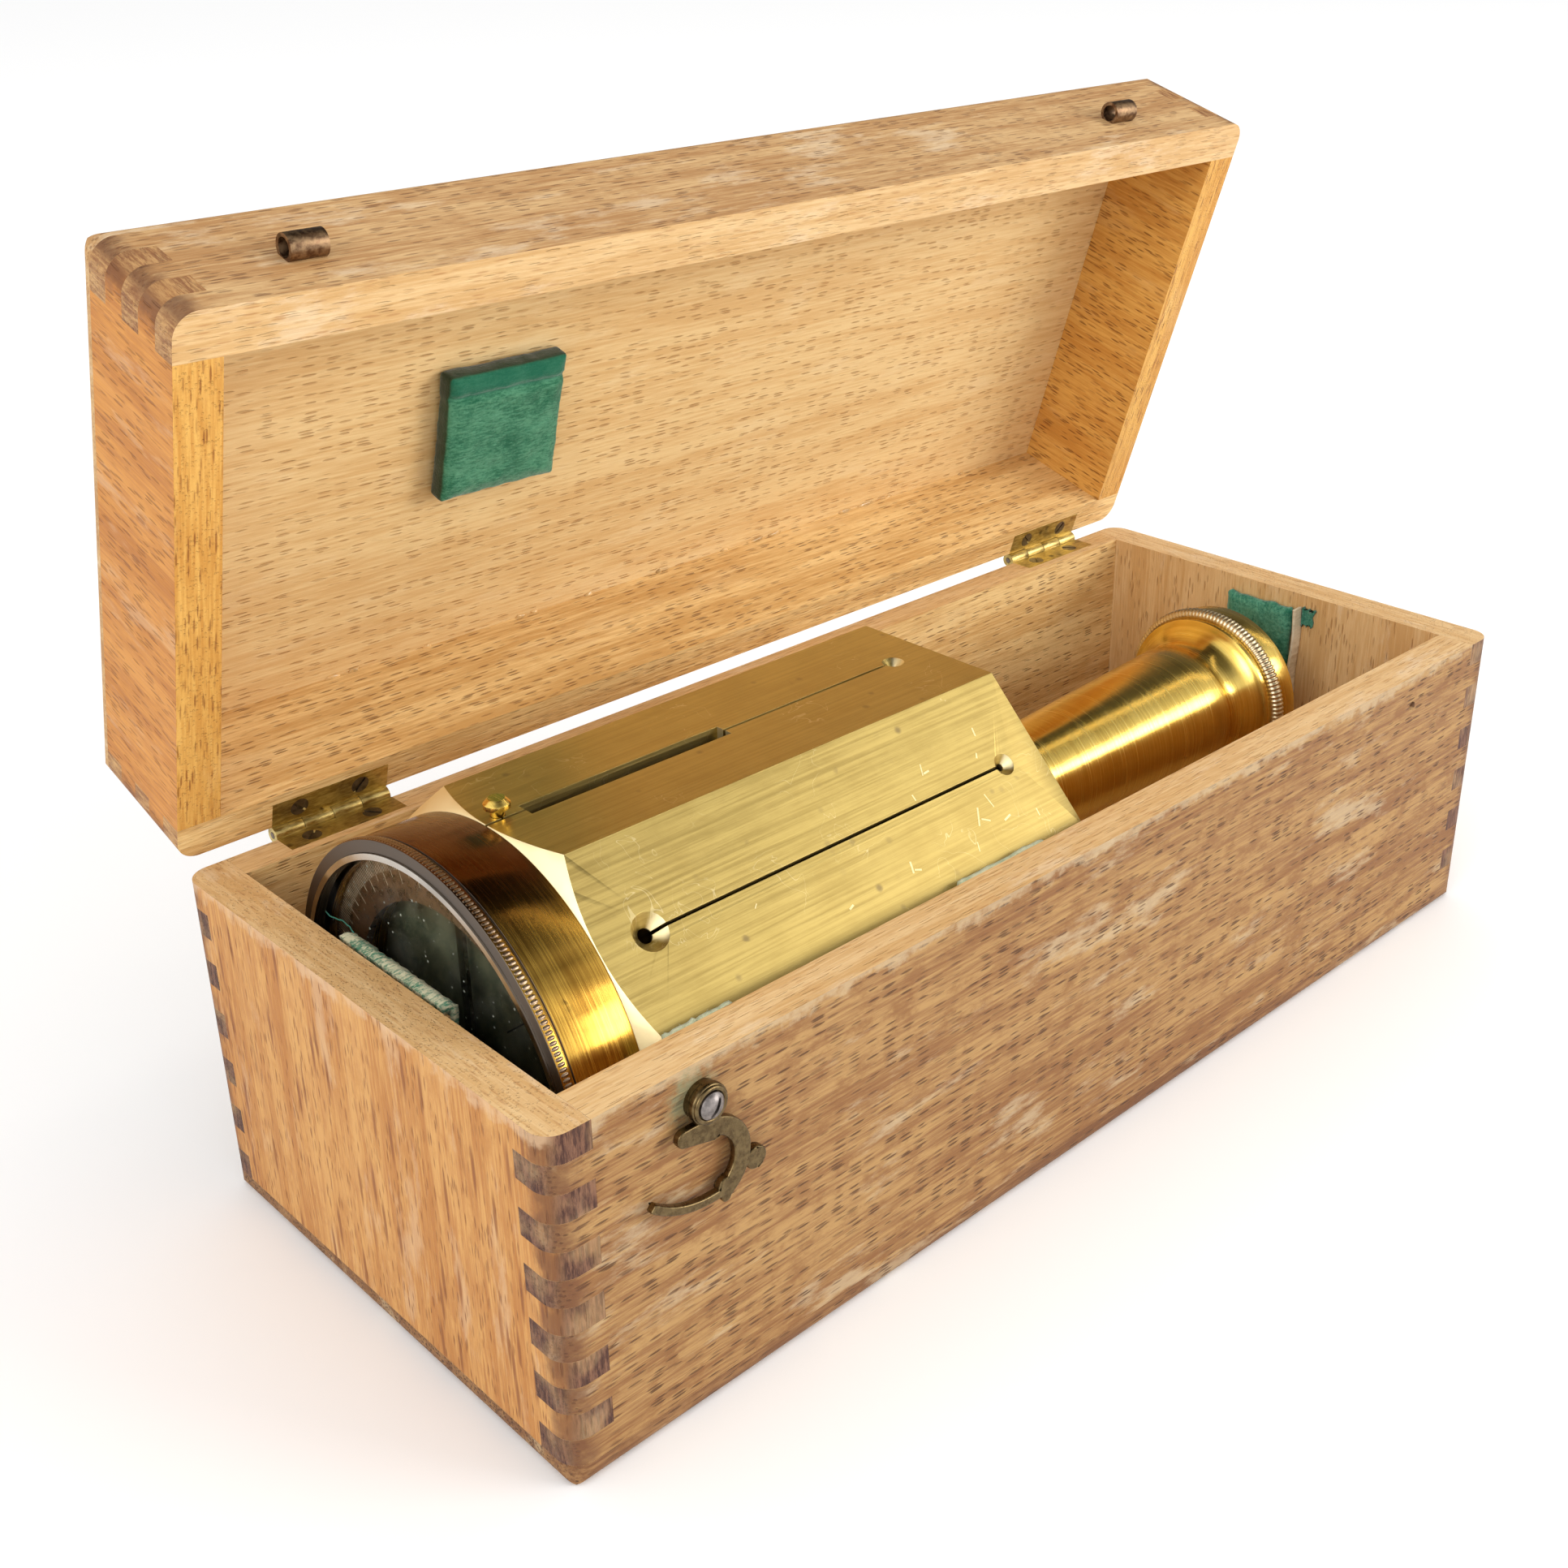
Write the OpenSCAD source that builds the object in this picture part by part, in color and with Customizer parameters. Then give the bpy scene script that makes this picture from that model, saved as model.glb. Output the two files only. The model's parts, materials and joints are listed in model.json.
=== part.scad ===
// Surveyor's cross-staff head with compass, lying in its finger-jointed beech case.
// Millimetres. Origin: centre of the case's underside. +X along the case towards the staff
// socket, -Y to the front where the hook is, +Z up. The lid stands open at lid_open degrees.

/* [Case] */
// Outside length of the case
case_l = 216; // [214:1:222]
// Outside depth of the case, front to back
case_w = 88; // [88:0.5:92]
// Height of the lower part, underside to rim
case_h = 55; // [54.5:0.5:60]
// Thickness of the front and end walls
wall_t = 6.8; // [6:0.1:7]
// Thickness of the rear wall
rear_t = 6; // [5.5:0.1:6.2]
// Thickness of the bottom board
bottom_t = 3.5; // [2.5:0.1:3.5]
// Wear radius of the upright outer corners
corner_r = 3.5; // [2:0.25:5]
// Wear radius along the outer edges of the bottom and top boards
edge_r = 2; // [1:0.25:2.25]
// Number of corner fingers in the height of the lower part
case_fingers = 12; // [8:2:14]

/* [Lid] */
// Height of the lid, rim to outside top
lid_h = 23.5; // [23.5:0.5:28]
// Thickness of the lid's top board
lid_top_t = 2.5; // [2.25:0.05:2.5]
// Number of corner fingers in the height of the lid
lid_fingers = 5; // [3:2:7]
// Angle that the lid stands open
lid_open = 72.7; // [0:0.1:110]
// Side of the square velvet pad in the lid
lid_pad_side = 23.5; // [15:0.5:30]
// Thickness of the lid pad
lid_pad_t = 4.1; // [2:0.1:4.1]

/* [Hinges and hook] */
// Length of a butt hinge
hinge_l = 20; // [16:1:22]
// Radius of a hinge knuckle
knuckle_r = 1.3; // [1.2:0.05:1.4]
// Thickness of a hinge leaf
leaf_t = 0.8; // [0.6:0.05:0.9]
// Distance from the hook's pivot to the middle of its end bar
hook_reach = 14.4; // [14:0.1:15]
// Thickness of the hook
hook_t = 1.2; // [1:0.1:1.4]

/* [Instrument] */
// Distance across the flats of the octagonal sight drum
drum_flats = 67; // [66:0.5:67]
// Length of the sight drum
drum_l = 85.6; // [85:0.1:86]
// Wall thickness of the sight drum
drum_wall = 2; // [1.5:0.1:2]
// Width of a sighting window
window_w = 3.2; // [2.5:0.1:4]
// Width of a fine sighting slit
slit_w = 0.5; // [0.4:0.05:0.7]
// Radius of the compass housing
collar_r = 33.4; // [33.2:0.1:33.4]
// Length of the cone of the staff socket
cone_l = 71.2; // [66:0.2:72]
// Radius of the knurled ring on the socket
knurl_r = 17.4; // [16.6:0.1:17.8]
// Radius of the bore at the socket's mouth
mouth_r = 11.5; // [10.5:0.1:12]

/* [Hidden] */
$fn = 96;
// Running clearance of a pin in its hole.
fit = 0.05;
// Overcut that keeps a cutting solid's end off the face it cuts.
cut = 1;

x_end = case_l / 2;
y_end = case_w / 2;
inner_x = x_end - wall_t;
inner_front = -y_end + wall_t;
inner_rear = y_end - rear_t;

// Lid, described in its closed place. The two rims stay a little apart.
rim_gap = 0.3;
lid_rim = case_h + rim_gap;
lid_top = lid_rim + lid_h;
lid_panel_h = lid_h - lid_top_t;
finger_h = (case_h - bottom_t) / case_fingers;
lid_finger_h = lid_panel_h / lid_fingers;

// Hinges: the pin lies behind the case, midway between the rims.
pin_y = y_end + 1.5;
pin_z = case_h + rim_gap / 2;
pin_r = 0.5;
hinge_x = [-82.75, 85.15];
leaf_inner_y = y_end - 4.4;
knuckle_l = hinge_l / 4;
screw_x = [-5.4, 5.1];
screw_y = y_end - 2.2;

// Hook and eyes on the front.
hook_x = -84.7;
hook_z = case_h - 5.4;
washer_t = 0.8;
washer_r = 2.9;
pivot_r = 1.2;
screw_head_r = 1.9;
screw_head_h = 1.3;
pivot_tip = -y_end + wall_t - 1;
hook_back = -y_end - washer_t - fit;
hook_mid = hook_back - hook_t / 2;
eye_z = hook_z + hook_reach;
eye_x = [-85.5, 80];
eye_r = 1.9;
eye_bore = 1.35;
eye_l = 5.6;
spare_screw_x = 81.7;

// Instrument: its long axis lies along X.
axis_y = -1.5;
axis_z = 38.2;
drum_x = -84.8;
drum_end = drum_x + drum_l;
apothem = drum_flats / 2;
corner_k = 1 / cos(22.5);
inner_apothem = apothem - drum_wall;
chamfer_l = 2.8;
cavity_r = 32.4;
// Sight features, as distances along X from the drum's compass end.
near_dot = 8.3;
far_dot = 77.8;
window_near = 6.4;
window_l = 35.8;
window_far = far_dot - window_l;

// Compass, as distances back from its front rim.
collar_l = 12.1;
collar_x = drum_x - collar_l;
rim_r = collar_r + 0.2;
rim_l = 1.6;
bezel_r = 31.7;
glass_at = 1.5;
glass_t = 1.2;
ledge_r = 30.4;
ring_at = 4.1;
ring_t = 1.2;
ring_inner_r = 23.4;
well_r = 24.2;
flange_l = 1.6;
dial_at = 8.4;
dial_t = 1;
needle_at = 4.4;
needle_t = 0.7;
needle_half = 22.6;
cap_r = 2;
cap_at = 3.9;
post_base_r = 1.5;
lifter_at = 6.6;
lifter_t = 0.6;
link_r = 20;
foot_at = 14.6;
button_at = 14.9;
button_y = axis_y + 1.3;
button_r = 1.9;
button_travel = 1.2;

// Staff socket, as distances along X from its narrow end.
plate_t = 3;
spigot_r = 6.5;
socket_gap = 0.1;
socket_x = drum_end + socket_gap;
neck_r = 9;
cone_r = 12.5;
bead_r = 13;
flare_r = 15.8;
lip_r = 16.4;
bead_l = 1.6;
flare_end = cone_l + bead_l + 5.2;
knurl_l = 2.8;
socket_l = flare_end + knurl_l + 4;
solid_l = 9;
throat_r = 7.6;
mouth_l = 9;

// Cradles: where they stand along X, and the felt that lines them.
cradle_span = [[-83.4, -72], [-28.2, -9.6]];
felt_t = 1.1;
felt_gap = 0.1;
felt_top = case_h - 0.6;
cradle_top = case_h - 3;
cradle_space = 20;

// Velvet pad in the lid: its middle, and the radius of its corners.
lid_pad_at = [-43.6, -4];
pad_corner_r = 1.5;

// Felted block at the left end, with its underside at end_block_z.
end_block_y = -11.55;
end_block_z = 22;
end_block = [1.9, 25.6, 31];
end_felt_t = 1;

// Velvet pad at the right end, and the strip along its front edge.
end_pad_at = [inner_x - 2.6, -7.6, 33];
end_pad = [2.6, 16.4, 20.2];
edging_at = [inner_x - 3, -8.5, 34];
edging = [3, 0.9, 18.8];

// ---- Shapes shared by several pieces ----

module rounded_rect(l, w, r) {
    square([l - 2 * r, w], center = true);
    square([l, w - 2 * r], center = true);
    for (sx = [-1, 1], sy = [-1, 1])
        translate([sx * (l / 2 - r), sy * (w / 2 - r)]) circle(r = r);
}

// A board's end view: its lower corners are worn round.
module board_profile(w, t, r) {
    translate([-w / 2, r]) square([w, t - r]);
    translate([-w / 2 + r, 0]) square([w - 2 * r, t]);
    for (s = [-1, 1])
        translate([s * (w / 2 - r), r]) circle(r = r);
}

// A full-size board lying with its worn face down.
module worn_board(t) {
    intersection() {
        linear_extrude(t) rounded_rect(case_l, case_w, corner_r);
        rotate([90, 0, 90]) translate([0, 0, -x_end])
            linear_extrude(case_l) board_profile(case_w, t, edge_r);
        rotate([90, 0, 0]) translate([0, 0, -y_end])
            linear_extrude(case_w) board_profile(case_l, t, edge_r);
    }
}

// The ring of four walls, as one block of height h from z0, with worn upright corners.
module wall_block(z0, h) {
    translate([0, 0, z0]) linear_extrude(h) rounded_rect(case_l, case_w, corner_r);
}

// Gaps for the other panel's fingers, at both ends of a front or rear panel.
module long_panel_gaps(rim, step, rows) {
    for (k = rows, s = [-1, 1])
        translate([s * (inner_x + wall_t), 0, rim + k * step])
            cube([2 * wall_t, 2 * case_w, abs(step)], center = true);
}

// The same for an end panel, whose ends meet the front and the rear walls.
module end_panel_gaps(rim, step, rows) {
    for (k = rows) {
        translate([-case_l, -y_end - cut, rim + k * step - abs(step) / 2])
            cube([2 * case_l, wall_t + cut, abs(step)]);
        translate([-case_l, inner_rear, rim + k * step - abs(step) / 2])
            cube([2 * case_l, rear_t + cut, abs(step)]);
    }
}

// Finger rows, counted in half steps from the rim to each finger's middle.
function odd_rows(n) = [for (k = [0 : 2 : n - 1]) k + 0.5];
function even_rows(n) = [for (k = [1 : 2 : n - 1]) k + 0.5];

module long_panel(z0, h, rim, step, other_rows, y0, t) {
    difference() {
        intersection() {
            wall_block(z0, h);
            translate([-case_l, y0, z0]) cube([2 * case_l, t, h]);
        }
        long_panel_gaps(rim, step, other_rows);
    }
}

module end_panel(z0, h, rim, step, other_rows, side) {
    difference() {
        intersection() {
            wall_block(z0, h);
            translate([side > 0 ? inner_x : -x_end, -case_w, z0])
                cube([wall_t, 2 * case_w, h]);
        }
        end_panel_gaps(rim, step, other_rows);
    }
}

// Carries a piece of the lid from its closed place to where the lid stands open.
module lid_pose() {
    translate([0, pin_y, pin_z]) rotate([-lid_open, 0, 0]) translate([0, -pin_y, -pin_z])
        children();
}

// Turns a piece of the lower hinge half over into the lid.
module flip_to_lid() {
    translate([0, 0, 2 * pin_z]) mirror([0, 0, 1]) children();
}

// ---- Hinges ----

module knuckle_at(cx, k) {
    translate([cx - hinge_l / 2 + k * knuckle_l + fit, pin_y, pin_z]) rotate([0, 90, 0])
        cylinder(r = knuckle_r, h = knuckle_l - 2 * fit);
    translate([cx - hinge_l / 2 + k * knuckle_l + fit, leaf_inner_y, case_h - leaf_t])
        cube([knuckle_l - 2 * fit, pin_y - pin_r - fit - leaf_inner_y, leaf_t]);
}

module leaf_recess(cx) {
    translate([cx - hinge_l / 2, leaf_inner_y, case_h - leaf_t])
        cube([hinge_l, case_w, leaf_t + cut]);
}

module hinge_leaf(cx, knuckles) {
    difference() {
        union() {
            translate([cx - hinge_l / 2, leaf_inner_y, case_h - leaf_t])
                cube([hinge_l, pin_y - knuckle_r - 2 * fit - leaf_inner_y, leaf_t]);
            for (k = knuckles) knuckle_at(cx, k);
        }
        translate([cx - hinge_l, pin_y, pin_z]) rotate([0, 90, 0])
            cylinder(r = pin_r + fit, h = 2 * hinge_l);
        for (dx = screw_x) translate([cx + dx, 0, 0]) screw_body();
    }
}

// A countersunk wood screw, head flush with the rim.
module screw_body() {
    head_r = 1.5;
    shank_r = 0.8;
    translate([0, screw_y, case_h - head_r + shank_r])
        cylinder(r1 = shank_r, r2 = head_r, h = head_r - shank_r);
    translate([0, screw_y, case_h - 7]) cylinder(r = shank_r, h = 7 - head_r + shank_r);
}

module slotted_screw(turn) {
    difference() {
        screw_body();
        translate([0, screw_y, case_h]) rotate([0, 0, turn])
            cube([4, 0.4, 0.6], center = true);
    }
}

module hinge_screws() {
    for (cx = hinge_x, dx = screw_x)
        translate([cx + dx, 0, 0]) slotted_screw(25 * dx);
}

module leaf_cuts() {
    for (cx = hinge_x) {
        leaf_recess(cx);
        for (dx = screw_x) translate([cx + dx, 0, 0]) screw_body();
    }
}

// ---- Lower part of the case ----

module case_bottom_board() {
    color("peru") worn_board(bottom_t);
}

module case_front_panel() {
    color("burlywood") difference() {
        long_panel(bottom_t, case_h - bottom_t, case_h, -finger_h, odd_rows(case_fingers),
            -y_end, wall_t);
        on_front(pivot_tip) cylinder(r = pivot_r, h = wall_t);
        translate([spare_screw_x, -y_end + 5, hook_z - 0.6]) rotate([90, 0, 0])
            cylinder(r = 0.9, h = 10);
    }
}

module case_rear_panel() {
    color("burlywood") difference() {
        long_panel(bottom_t, case_h - bottom_t, case_h, -finger_h, odd_rows(case_fingers),
            inner_rear, rear_t);
        leaf_cuts();
    }
}

module case_left_panel() {
    color("sandybrown")
        end_panel(bottom_t, case_h - bottom_t, case_h, -finger_h, even_rows(case_fingers), -1);
}

module case_right_panel() {
    color("sandybrown")
        end_panel(bottom_t, case_h - bottom_t, case_h, -finger_h, even_rows(case_fingers), 1);
}

// ---- Lid ----

module lid_top_board() {
    color("peru") lid_pose() translate([0, 0, lid_top]) mirror([0, 0, 1])
        worn_board(lid_top_t);
}

module lid_front_panel() {
    color("burlywood") lid_pose() difference() {
        long_panel(lid_rim, lid_panel_h, lid_rim, lid_finger_h, even_rows(lid_fingers),
            -y_end, wall_t);
        for (x = eye_x) eye_body(x);
    }
}

module lid_rear_panel() {
    color("burlywood") lid_pose() difference() {
        long_panel(lid_rim, lid_panel_h, lid_rim, lid_finger_h, even_rows(lid_fingers),
            inner_rear, rear_t);
        flip_to_lid() leaf_cuts();
    }
}

module lid_left_panel() {
    color("sandybrown") lid_pose()
        end_panel(lid_rim, lid_panel_h, lid_rim, lid_finger_h, odd_rows(lid_fingers), -1);
}

module lid_right_panel() {
    color("sandybrown") lid_pose()
        end_panel(lid_rim, lid_panel_h, lid_rim, lid_finger_h, odd_rows(lid_fingers), 1);
}

module lid_pad() {
    color("seagreen") lid_pose()
        translate([lid_pad_at[0], lid_pad_at[1], lid_top - lid_top_t - lid_pad_t])
            linear_extrude(lid_pad_t) rounded_rect(lid_pad_side, lid_pad_side, pad_corner_r);
}

// ---- Cradles and end stops ----

// An octagonal prism about the instrument's axis, from x0 to x1, of apothem a.
module octagon(x0, x1, a) {
    translate([x0, axis_y, axis_z]) rotate([0, 90, 0]) rotate([0, 0, 22.5])
        cylinder(r = a * corner_k, h = x1 - x0, $fn = 8);
}

// The drum's bed: octagonal below the axis, with straight sides above it, so that the drum
// lifts out.
module bed(x0, x1, a) {
    c = a * tan(22.5);
    translate([x0, axis_y, axis_z]) rotate([90, 0, 90]) linear_extrude(x1 - x0)
        polygon([[-a, case_h], [-a, -c], [-c, -a], [c, -a], [a, -c], [a, case_h]]);
}

// All that the case holds between x0 and x1, from the bottom board up to z1.
module bay(x0, x1, z1) {
    translate([x0, inner_front, bottom_t])
        cube([x1 - x0, inner_rear - inner_front, z1 - bottom_t]);
}

// Wood packed between the case and the felt: one block in front, one behind.
module cradle(span) {
    difference() {
        bay(span[0], span[1], cradle_top);
        bed(span[0] - cut, span[1] + cut, apothem + felt_gap + felt_t);
        translate([span[0] - cut, axis_y - cradle_space / 2, 0])
            cube([span[1] - span[0] + 2 * cut, cradle_space, case_h]);
    }
}

module cradle_felt(span) {
    difference() {
        intersection() {
            bed(span[0], span[1], apothem + felt_gap + felt_t);
            bay(span[0], span[1], felt_top);
        }
        bed(span[0] - cut, span[1] + cut, apothem + felt_gap);
    }
}

module left_cradle() {
    color("peru") cradle(cradle_span[0]);
}

module right_cradle() {
    color("peru") cradle(cradle_span[1]);
}

module left_cradle_felt() {
    color("darkseagreen") cradle_felt(cradle_span[0]);
}

module right_cradle_felt() {
    color("darkseagreen") cradle_felt(cradle_span[1]);
}

module left_end_block() {
    color("peru") translate([-inner_x, end_block_y, end_block_z]) cube(end_block);
}

// The felt wraps over the block's face and its top.
module left_end_felt() {
    color("darkseagreen") translate([-inner_x, end_block_y, end_block_z]) difference() {
        cube([end_block[0] + end_felt_t, end_block[1], end_block[2] + end_felt_t]);
        translate([-cut, -cut, -cut])
            cube([end_block[0] + cut, end_block[1] + 2 * cut, end_block[2] + cut]);
    }
}

module right_end_pad() {
    color("seagreen") translate(end_pad_at) cube(end_pad);
}

module right_end_edging() {
    color("wheat") translate(edging_at) cube(edging);
}

// ---- Hinge pieces ----

module left_hinge_lower_leaf() {
    color("darkgoldenrod") hinge_leaf(hinge_x[0], [0, 2]);
}

module right_hinge_lower_leaf() {
    color("darkgoldenrod") hinge_leaf(hinge_x[1], [0, 2]);
}

module left_hinge_upper_leaf() {
    color("darkgoldenrod") lid_pose() flip_to_lid() hinge_leaf(hinge_x[0], [1, 3]);
}

module right_hinge_upper_leaf() {
    color("darkgoldenrod") lid_pose() flip_to_lid() hinge_leaf(hinge_x[1], [1, 3]);
}

module hinge_pins() {
    color("dimgray") for (cx = hinge_x)
        translate([cx - hinge_l / 2, pin_y, pin_z]) rotate([0, 90, 0])
            cylinder(r = pin_r, h = hinge_l);
}

module lower_hinge_screws() {
    color("dimgray") hinge_screws();
}

module upper_hinge_screws() {
    color("dimgray") lid_pose() flip_to_lid() hinge_screws();
}

// ---- Hook and eyes ----

// Places its children with their XY plane on the case's front, at depth y, facing forward.
module on_front(y) {
    translate([hook_x, y, hook_z]) rotate([90, 0, 0]) children();
}

module arc_band(r, w, from, to) {
    reach = 2 * r + w;
    mid = (from + to) / 2;
    intersection() {
        difference() {
            circle(r = r + w / 2);
            circle(r = r - w / 2);
        }
        polygon([[0, 0], reach * [cos(from), sin(from)], reach * [cos(mid), sin(mid)],
            reach * [cos(to), sin(to)]]);
    }
}

module hook_outline() {
    circle(r = washer_r);
    hull() {
        translate([-4.1, -3.2]) circle(r = 1.25, $fn = 32);
        translate([0.4, -3.8]) circle(r = 1.8, $fn = 32);
    }
    translate([-0.6, -9.3]) arc_band(5.7, 2.7, -62, 98);
    translate([7.3, -12]) circle(r = 1.7);
    hull() {
        translate([2.1, -15.4]) circle(r = 0.75, $fn = 32);
        translate([2.2, -13.8]) circle(r = 1.4, $fn = 32);
    }
    arc_band(hook_reach, 1.3, -132, -80);
}

module hook() {
    color("olive") difference() {
        on_front(hook_back) linear_extrude(hook_t) hook_outline();
        on_front(hook_back + cut) cylinder(r = pivot_r + fit, h = hook_t + 2 * cut);
    }
}

module hook_washer() {
    color("olive") difference() {
        on_front(-y_end) cylinder(r = washer_r - 0.2, h = washer_t);
        on_front(-y_end + cut) cylinder(r = pivot_r, h = washer_t + 2 * cut);
    }
}

// Round-headed screw on which the hook turns.
module hook_pivot_screw() {
    color("silver") difference() {
        union() {
            on_front(pivot_tip) cylinder(r = pivot_r, h = pivot_tip - hook_back + hook_t + fit);
            on_front(hook_back - hook_t - fit) intersection() {
                cylinder(r = screw_head_r, h = screw_head_h);
                translate([0, 0, -1.2]) sphere(r = screw_head_r + 0.55);
            }
        }
        on_front(hook_back - hook_t - screw_head_h) rotate([0, 0, 55])
            cube([5, 0.5, 1], center = true);
    }
}

// A rolled brass eye with the spike that holds it in the wood.
module eye_body(x) {
    translate([x - eye_l / 2, hook_mid, eye_z]) rotate([0, 90, 0])
        cylinder(r = eye_r, h = eye_l);
    translate([x, hook_mid + 1, eye_z]) rotate([-90, 0, 0]) cylinder(r = 0.75, h = 6.5);
}

module hook_eye(x) {
    difference() {
        eye_body(x);
        translate([x - eye_l, hook_mid, eye_z]) rotate([0, 90, 0])
            cylinder(r = eye_bore, h = 2 * eye_l);
    }
}

module left_hook_eye() {
    color("darkgoldenrod") lid_pose() hook_eye(eye_x[0]);
}

module right_hook_eye() {
    color("darkgoldenrod") lid_pose() hook_eye(eye_x[1]);
}

// ---- Sight drum ----

// Places its children with +Z along the instrument's axis, starting at x.
module on_axis(x) {
    translate([x, axis_y, axis_z]) rotate([0, 90, 0]) children();
}

// Places its children on face i of the drum: X along the drum, Z out of the face.
// Face 0 is on top, and the others follow towards the front.
module on_face(i) {
    translate([drum_x, axis_y, axis_z]) rotate([45 * i, 0, 0]) translate([0, 0, apothem])
        children();
}

module slot(from, to, w) {
    translate([from, -w / 2, -drum_wall - cut]) cube([to - from, w, drum_wall + 2 * cut]);
}

// A sighting dot: a drilled hole in a countersink of mouth radius r.
module dot(x, hole_r, r) {
    translate([x, 0, -drum_wall - cut]) cylinder(r = hole_r, h = drum_wall + 2 * cut);
    translate([x, 0, hole_r - r]) cylinder(r1 = hole_r, r2 = r, h = r - hole_r);
}

// Main faces: a window with a hair slit beyond it. The opposite face has them swapped.
module main_sight(swapped) {
    window_x = swapped ? window_far : window_near;
    slot(window_x, window_x + window_l, window_w);
    slot(swapped ? near_dot : -cut, swapped ? window_far : window_near, slit_w);
    slot(swapped ? window_far + window_l : window_near + window_l,
        swapped ? drum_l - plate_t - cut : far_dot, slit_w);
    dot(swapped ? near_dot : far_dot, 0.6, 1.8);
}

// Diagonal faces: a fine slit between a wide dot and a small one.
module diagonal_sight() {
    slot(near_dot, far_dot, slit_w);
    dot(near_dot, 1.1, 2.8);
    dot(far_dot, 0.6, 1.8);
}

// The hollow inside the drum: eight flats, with their corners bored round.
module cavity(x0, x1) {
    intersection() {
        octagon(x0, x1, inner_apothem);
        on_axis(x0) cylinder(r = cavity_r, h = x1 - x0);
    }
}

module drum_shell() {
    outer_r = apothem * corner_k + 0.3;
    difference() {
        intersection() {
            octagon(drum_x, drum_end, apothem);
            union() {
                on_axis(drum_x) cylinder(r1 = collar_r, r2 = outer_r, h = chamfer_l);
                on_axis(drum_x + chamfer_l) cylinder(r = outer_r, h = drum_l - chamfer_l);
            }
        }
        cavity(drum_x - cut, drum_end + cut);
    }
}

module sight_drum() {
    color("goldenrod") difference() {
        drum_shell();
        for (i = [0, 2, 4, 6]) on_face(i) main_sight(i >= 4);
        for (i = [1, 3, 5, 7]) on_face(i) diagonal_sight();
        translate([collar_x + button_at, button_y, axis_z]) cylinder(r = 1.06, h = 2 * apothem);
    }
}

module drum_end_plate() {
    color("goldenrod") difference() {
        cavity(drum_end - plate_t, drum_end);
        on_axis(drum_end - plate_t - cut) cylinder(r = spigot_r, h = plate_t + 2 * cut);
    }
}

// The stub that the staff socket screws on to, flanged inside the plate.
module socket_spigot() {
    color("goldenrod") {
        on_axis(drum_end - plate_t - 2) cylinder(r = spigot_r + 3, h = 2);
        on_axis(drum_end - plate_t) cylinder(r = spigot_r, h = plate_t + 7.5);
    }
}

// ---- Compass ----

module compass_housing() {
    color("saddlebrown") difference() {
        union() {
            on_axis(collar_x) cylinder(r = rim_r, h = rim_l);
            on_axis(collar_x + rim_l) cylinder(r = collar_r - 0.3, h = 0.4);
            on_axis(collar_x + rim_l + 0.4) cylinder(r = collar_r, h = collar_l - rim_l - 0.4);
            on_axis(drum_x) cylinder(r = inner_apothem - 0.1, h = flange_l);
        }
        on_axis(collar_x - cut) cylinder(r = bezel_r, h = glass_at + glass_t + cut);
        on_axis(collar_x) cylinder(r = ledge_r, h = ring_at + ring_t);
        on_axis(collar_x) cylinder(r = well_r, h = dial_at + dial_t);
        on_axis(collar_x) cylinder(r = post_base_r, h = collar_l + 2 * cut);
        on_axis(drum_x) cylinder(r = inner_apothem - 2, h = flange_l + cut);
        link_hole();
    }
}

module link_hole() {
    translate([collar_x, axis_y, axis_z + link_r]) rotate([0, 90, 0])
        cylinder(r = 1, h = collar_l + 5);
}

module compass_bezel() {
    color("silver") on_axis(collar_x - 0.3) difference() {
        cylinder(r = bezel_r, h = glass_at + 0.3);
        translate([0, 0, -cut]) cylinder(r = bezel_r - 0.9, h = glass_at + 3);
    }
}

module compass_glass() {
    color("lightcyan", 0.4) on_axis(collar_x + glass_at) cylinder(r = bezel_r, h = glass_t);
}

module degree_ring() {
    color("dimgray") on_axis(collar_x + ring_at) difference() {
        cylinder(r = ledge_r, h = ring_t);
        translate([0, 0, -cut]) cylinder(r = ring_inner_r, h = ring_t + 2 * cut);
    }
}

module compass_dial() {
    color("darkslategray") difference() {
        on_axis(collar_x + dial_at) cylinder(r = well_r, h = dial_t);
        on_axis(collar_x) cylinder(r = post_base_r, h = collar_l);
        link_hole();
    }
}

module needle_pivot() {
    color("silver") {
        on_axis(collar_x + dial_at) cylinder(r = post_base_r, h = collar_l - dial_at);
        on_axis(collar_x + dial_at - 2.2) cylinder(r = 0.8, h = 2.2);
        on_axis(collar_x + cap_at + 1) cylinder(r1 = 0.1, r2 = 0.8, h = dial_at - 3.2 - cap_at);
    }
}

module compass_needle() {
    color("steelblue") difference() {
        on_axis(collar_x + needle_at) linear_extrude(needle_t)
            polygon([[0, -needle_half], [2.9, 0], [0, needle_half], [-2.9, 0]]);
        on_axis(collar_x) cylinder(r = cap_r, h = collar_l);
    }
}

// The jewelled cap: a blind socket that sits over the pivot's point.
module needle_cap() {
    color("gold") on_axis(collar_x + cap_at) difference() {
        cylinder(r = cap_r, h = 2);
        translate([0, 0, 0.9]) cylinder(r = 1.2, h = 2);
    }
}

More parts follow.
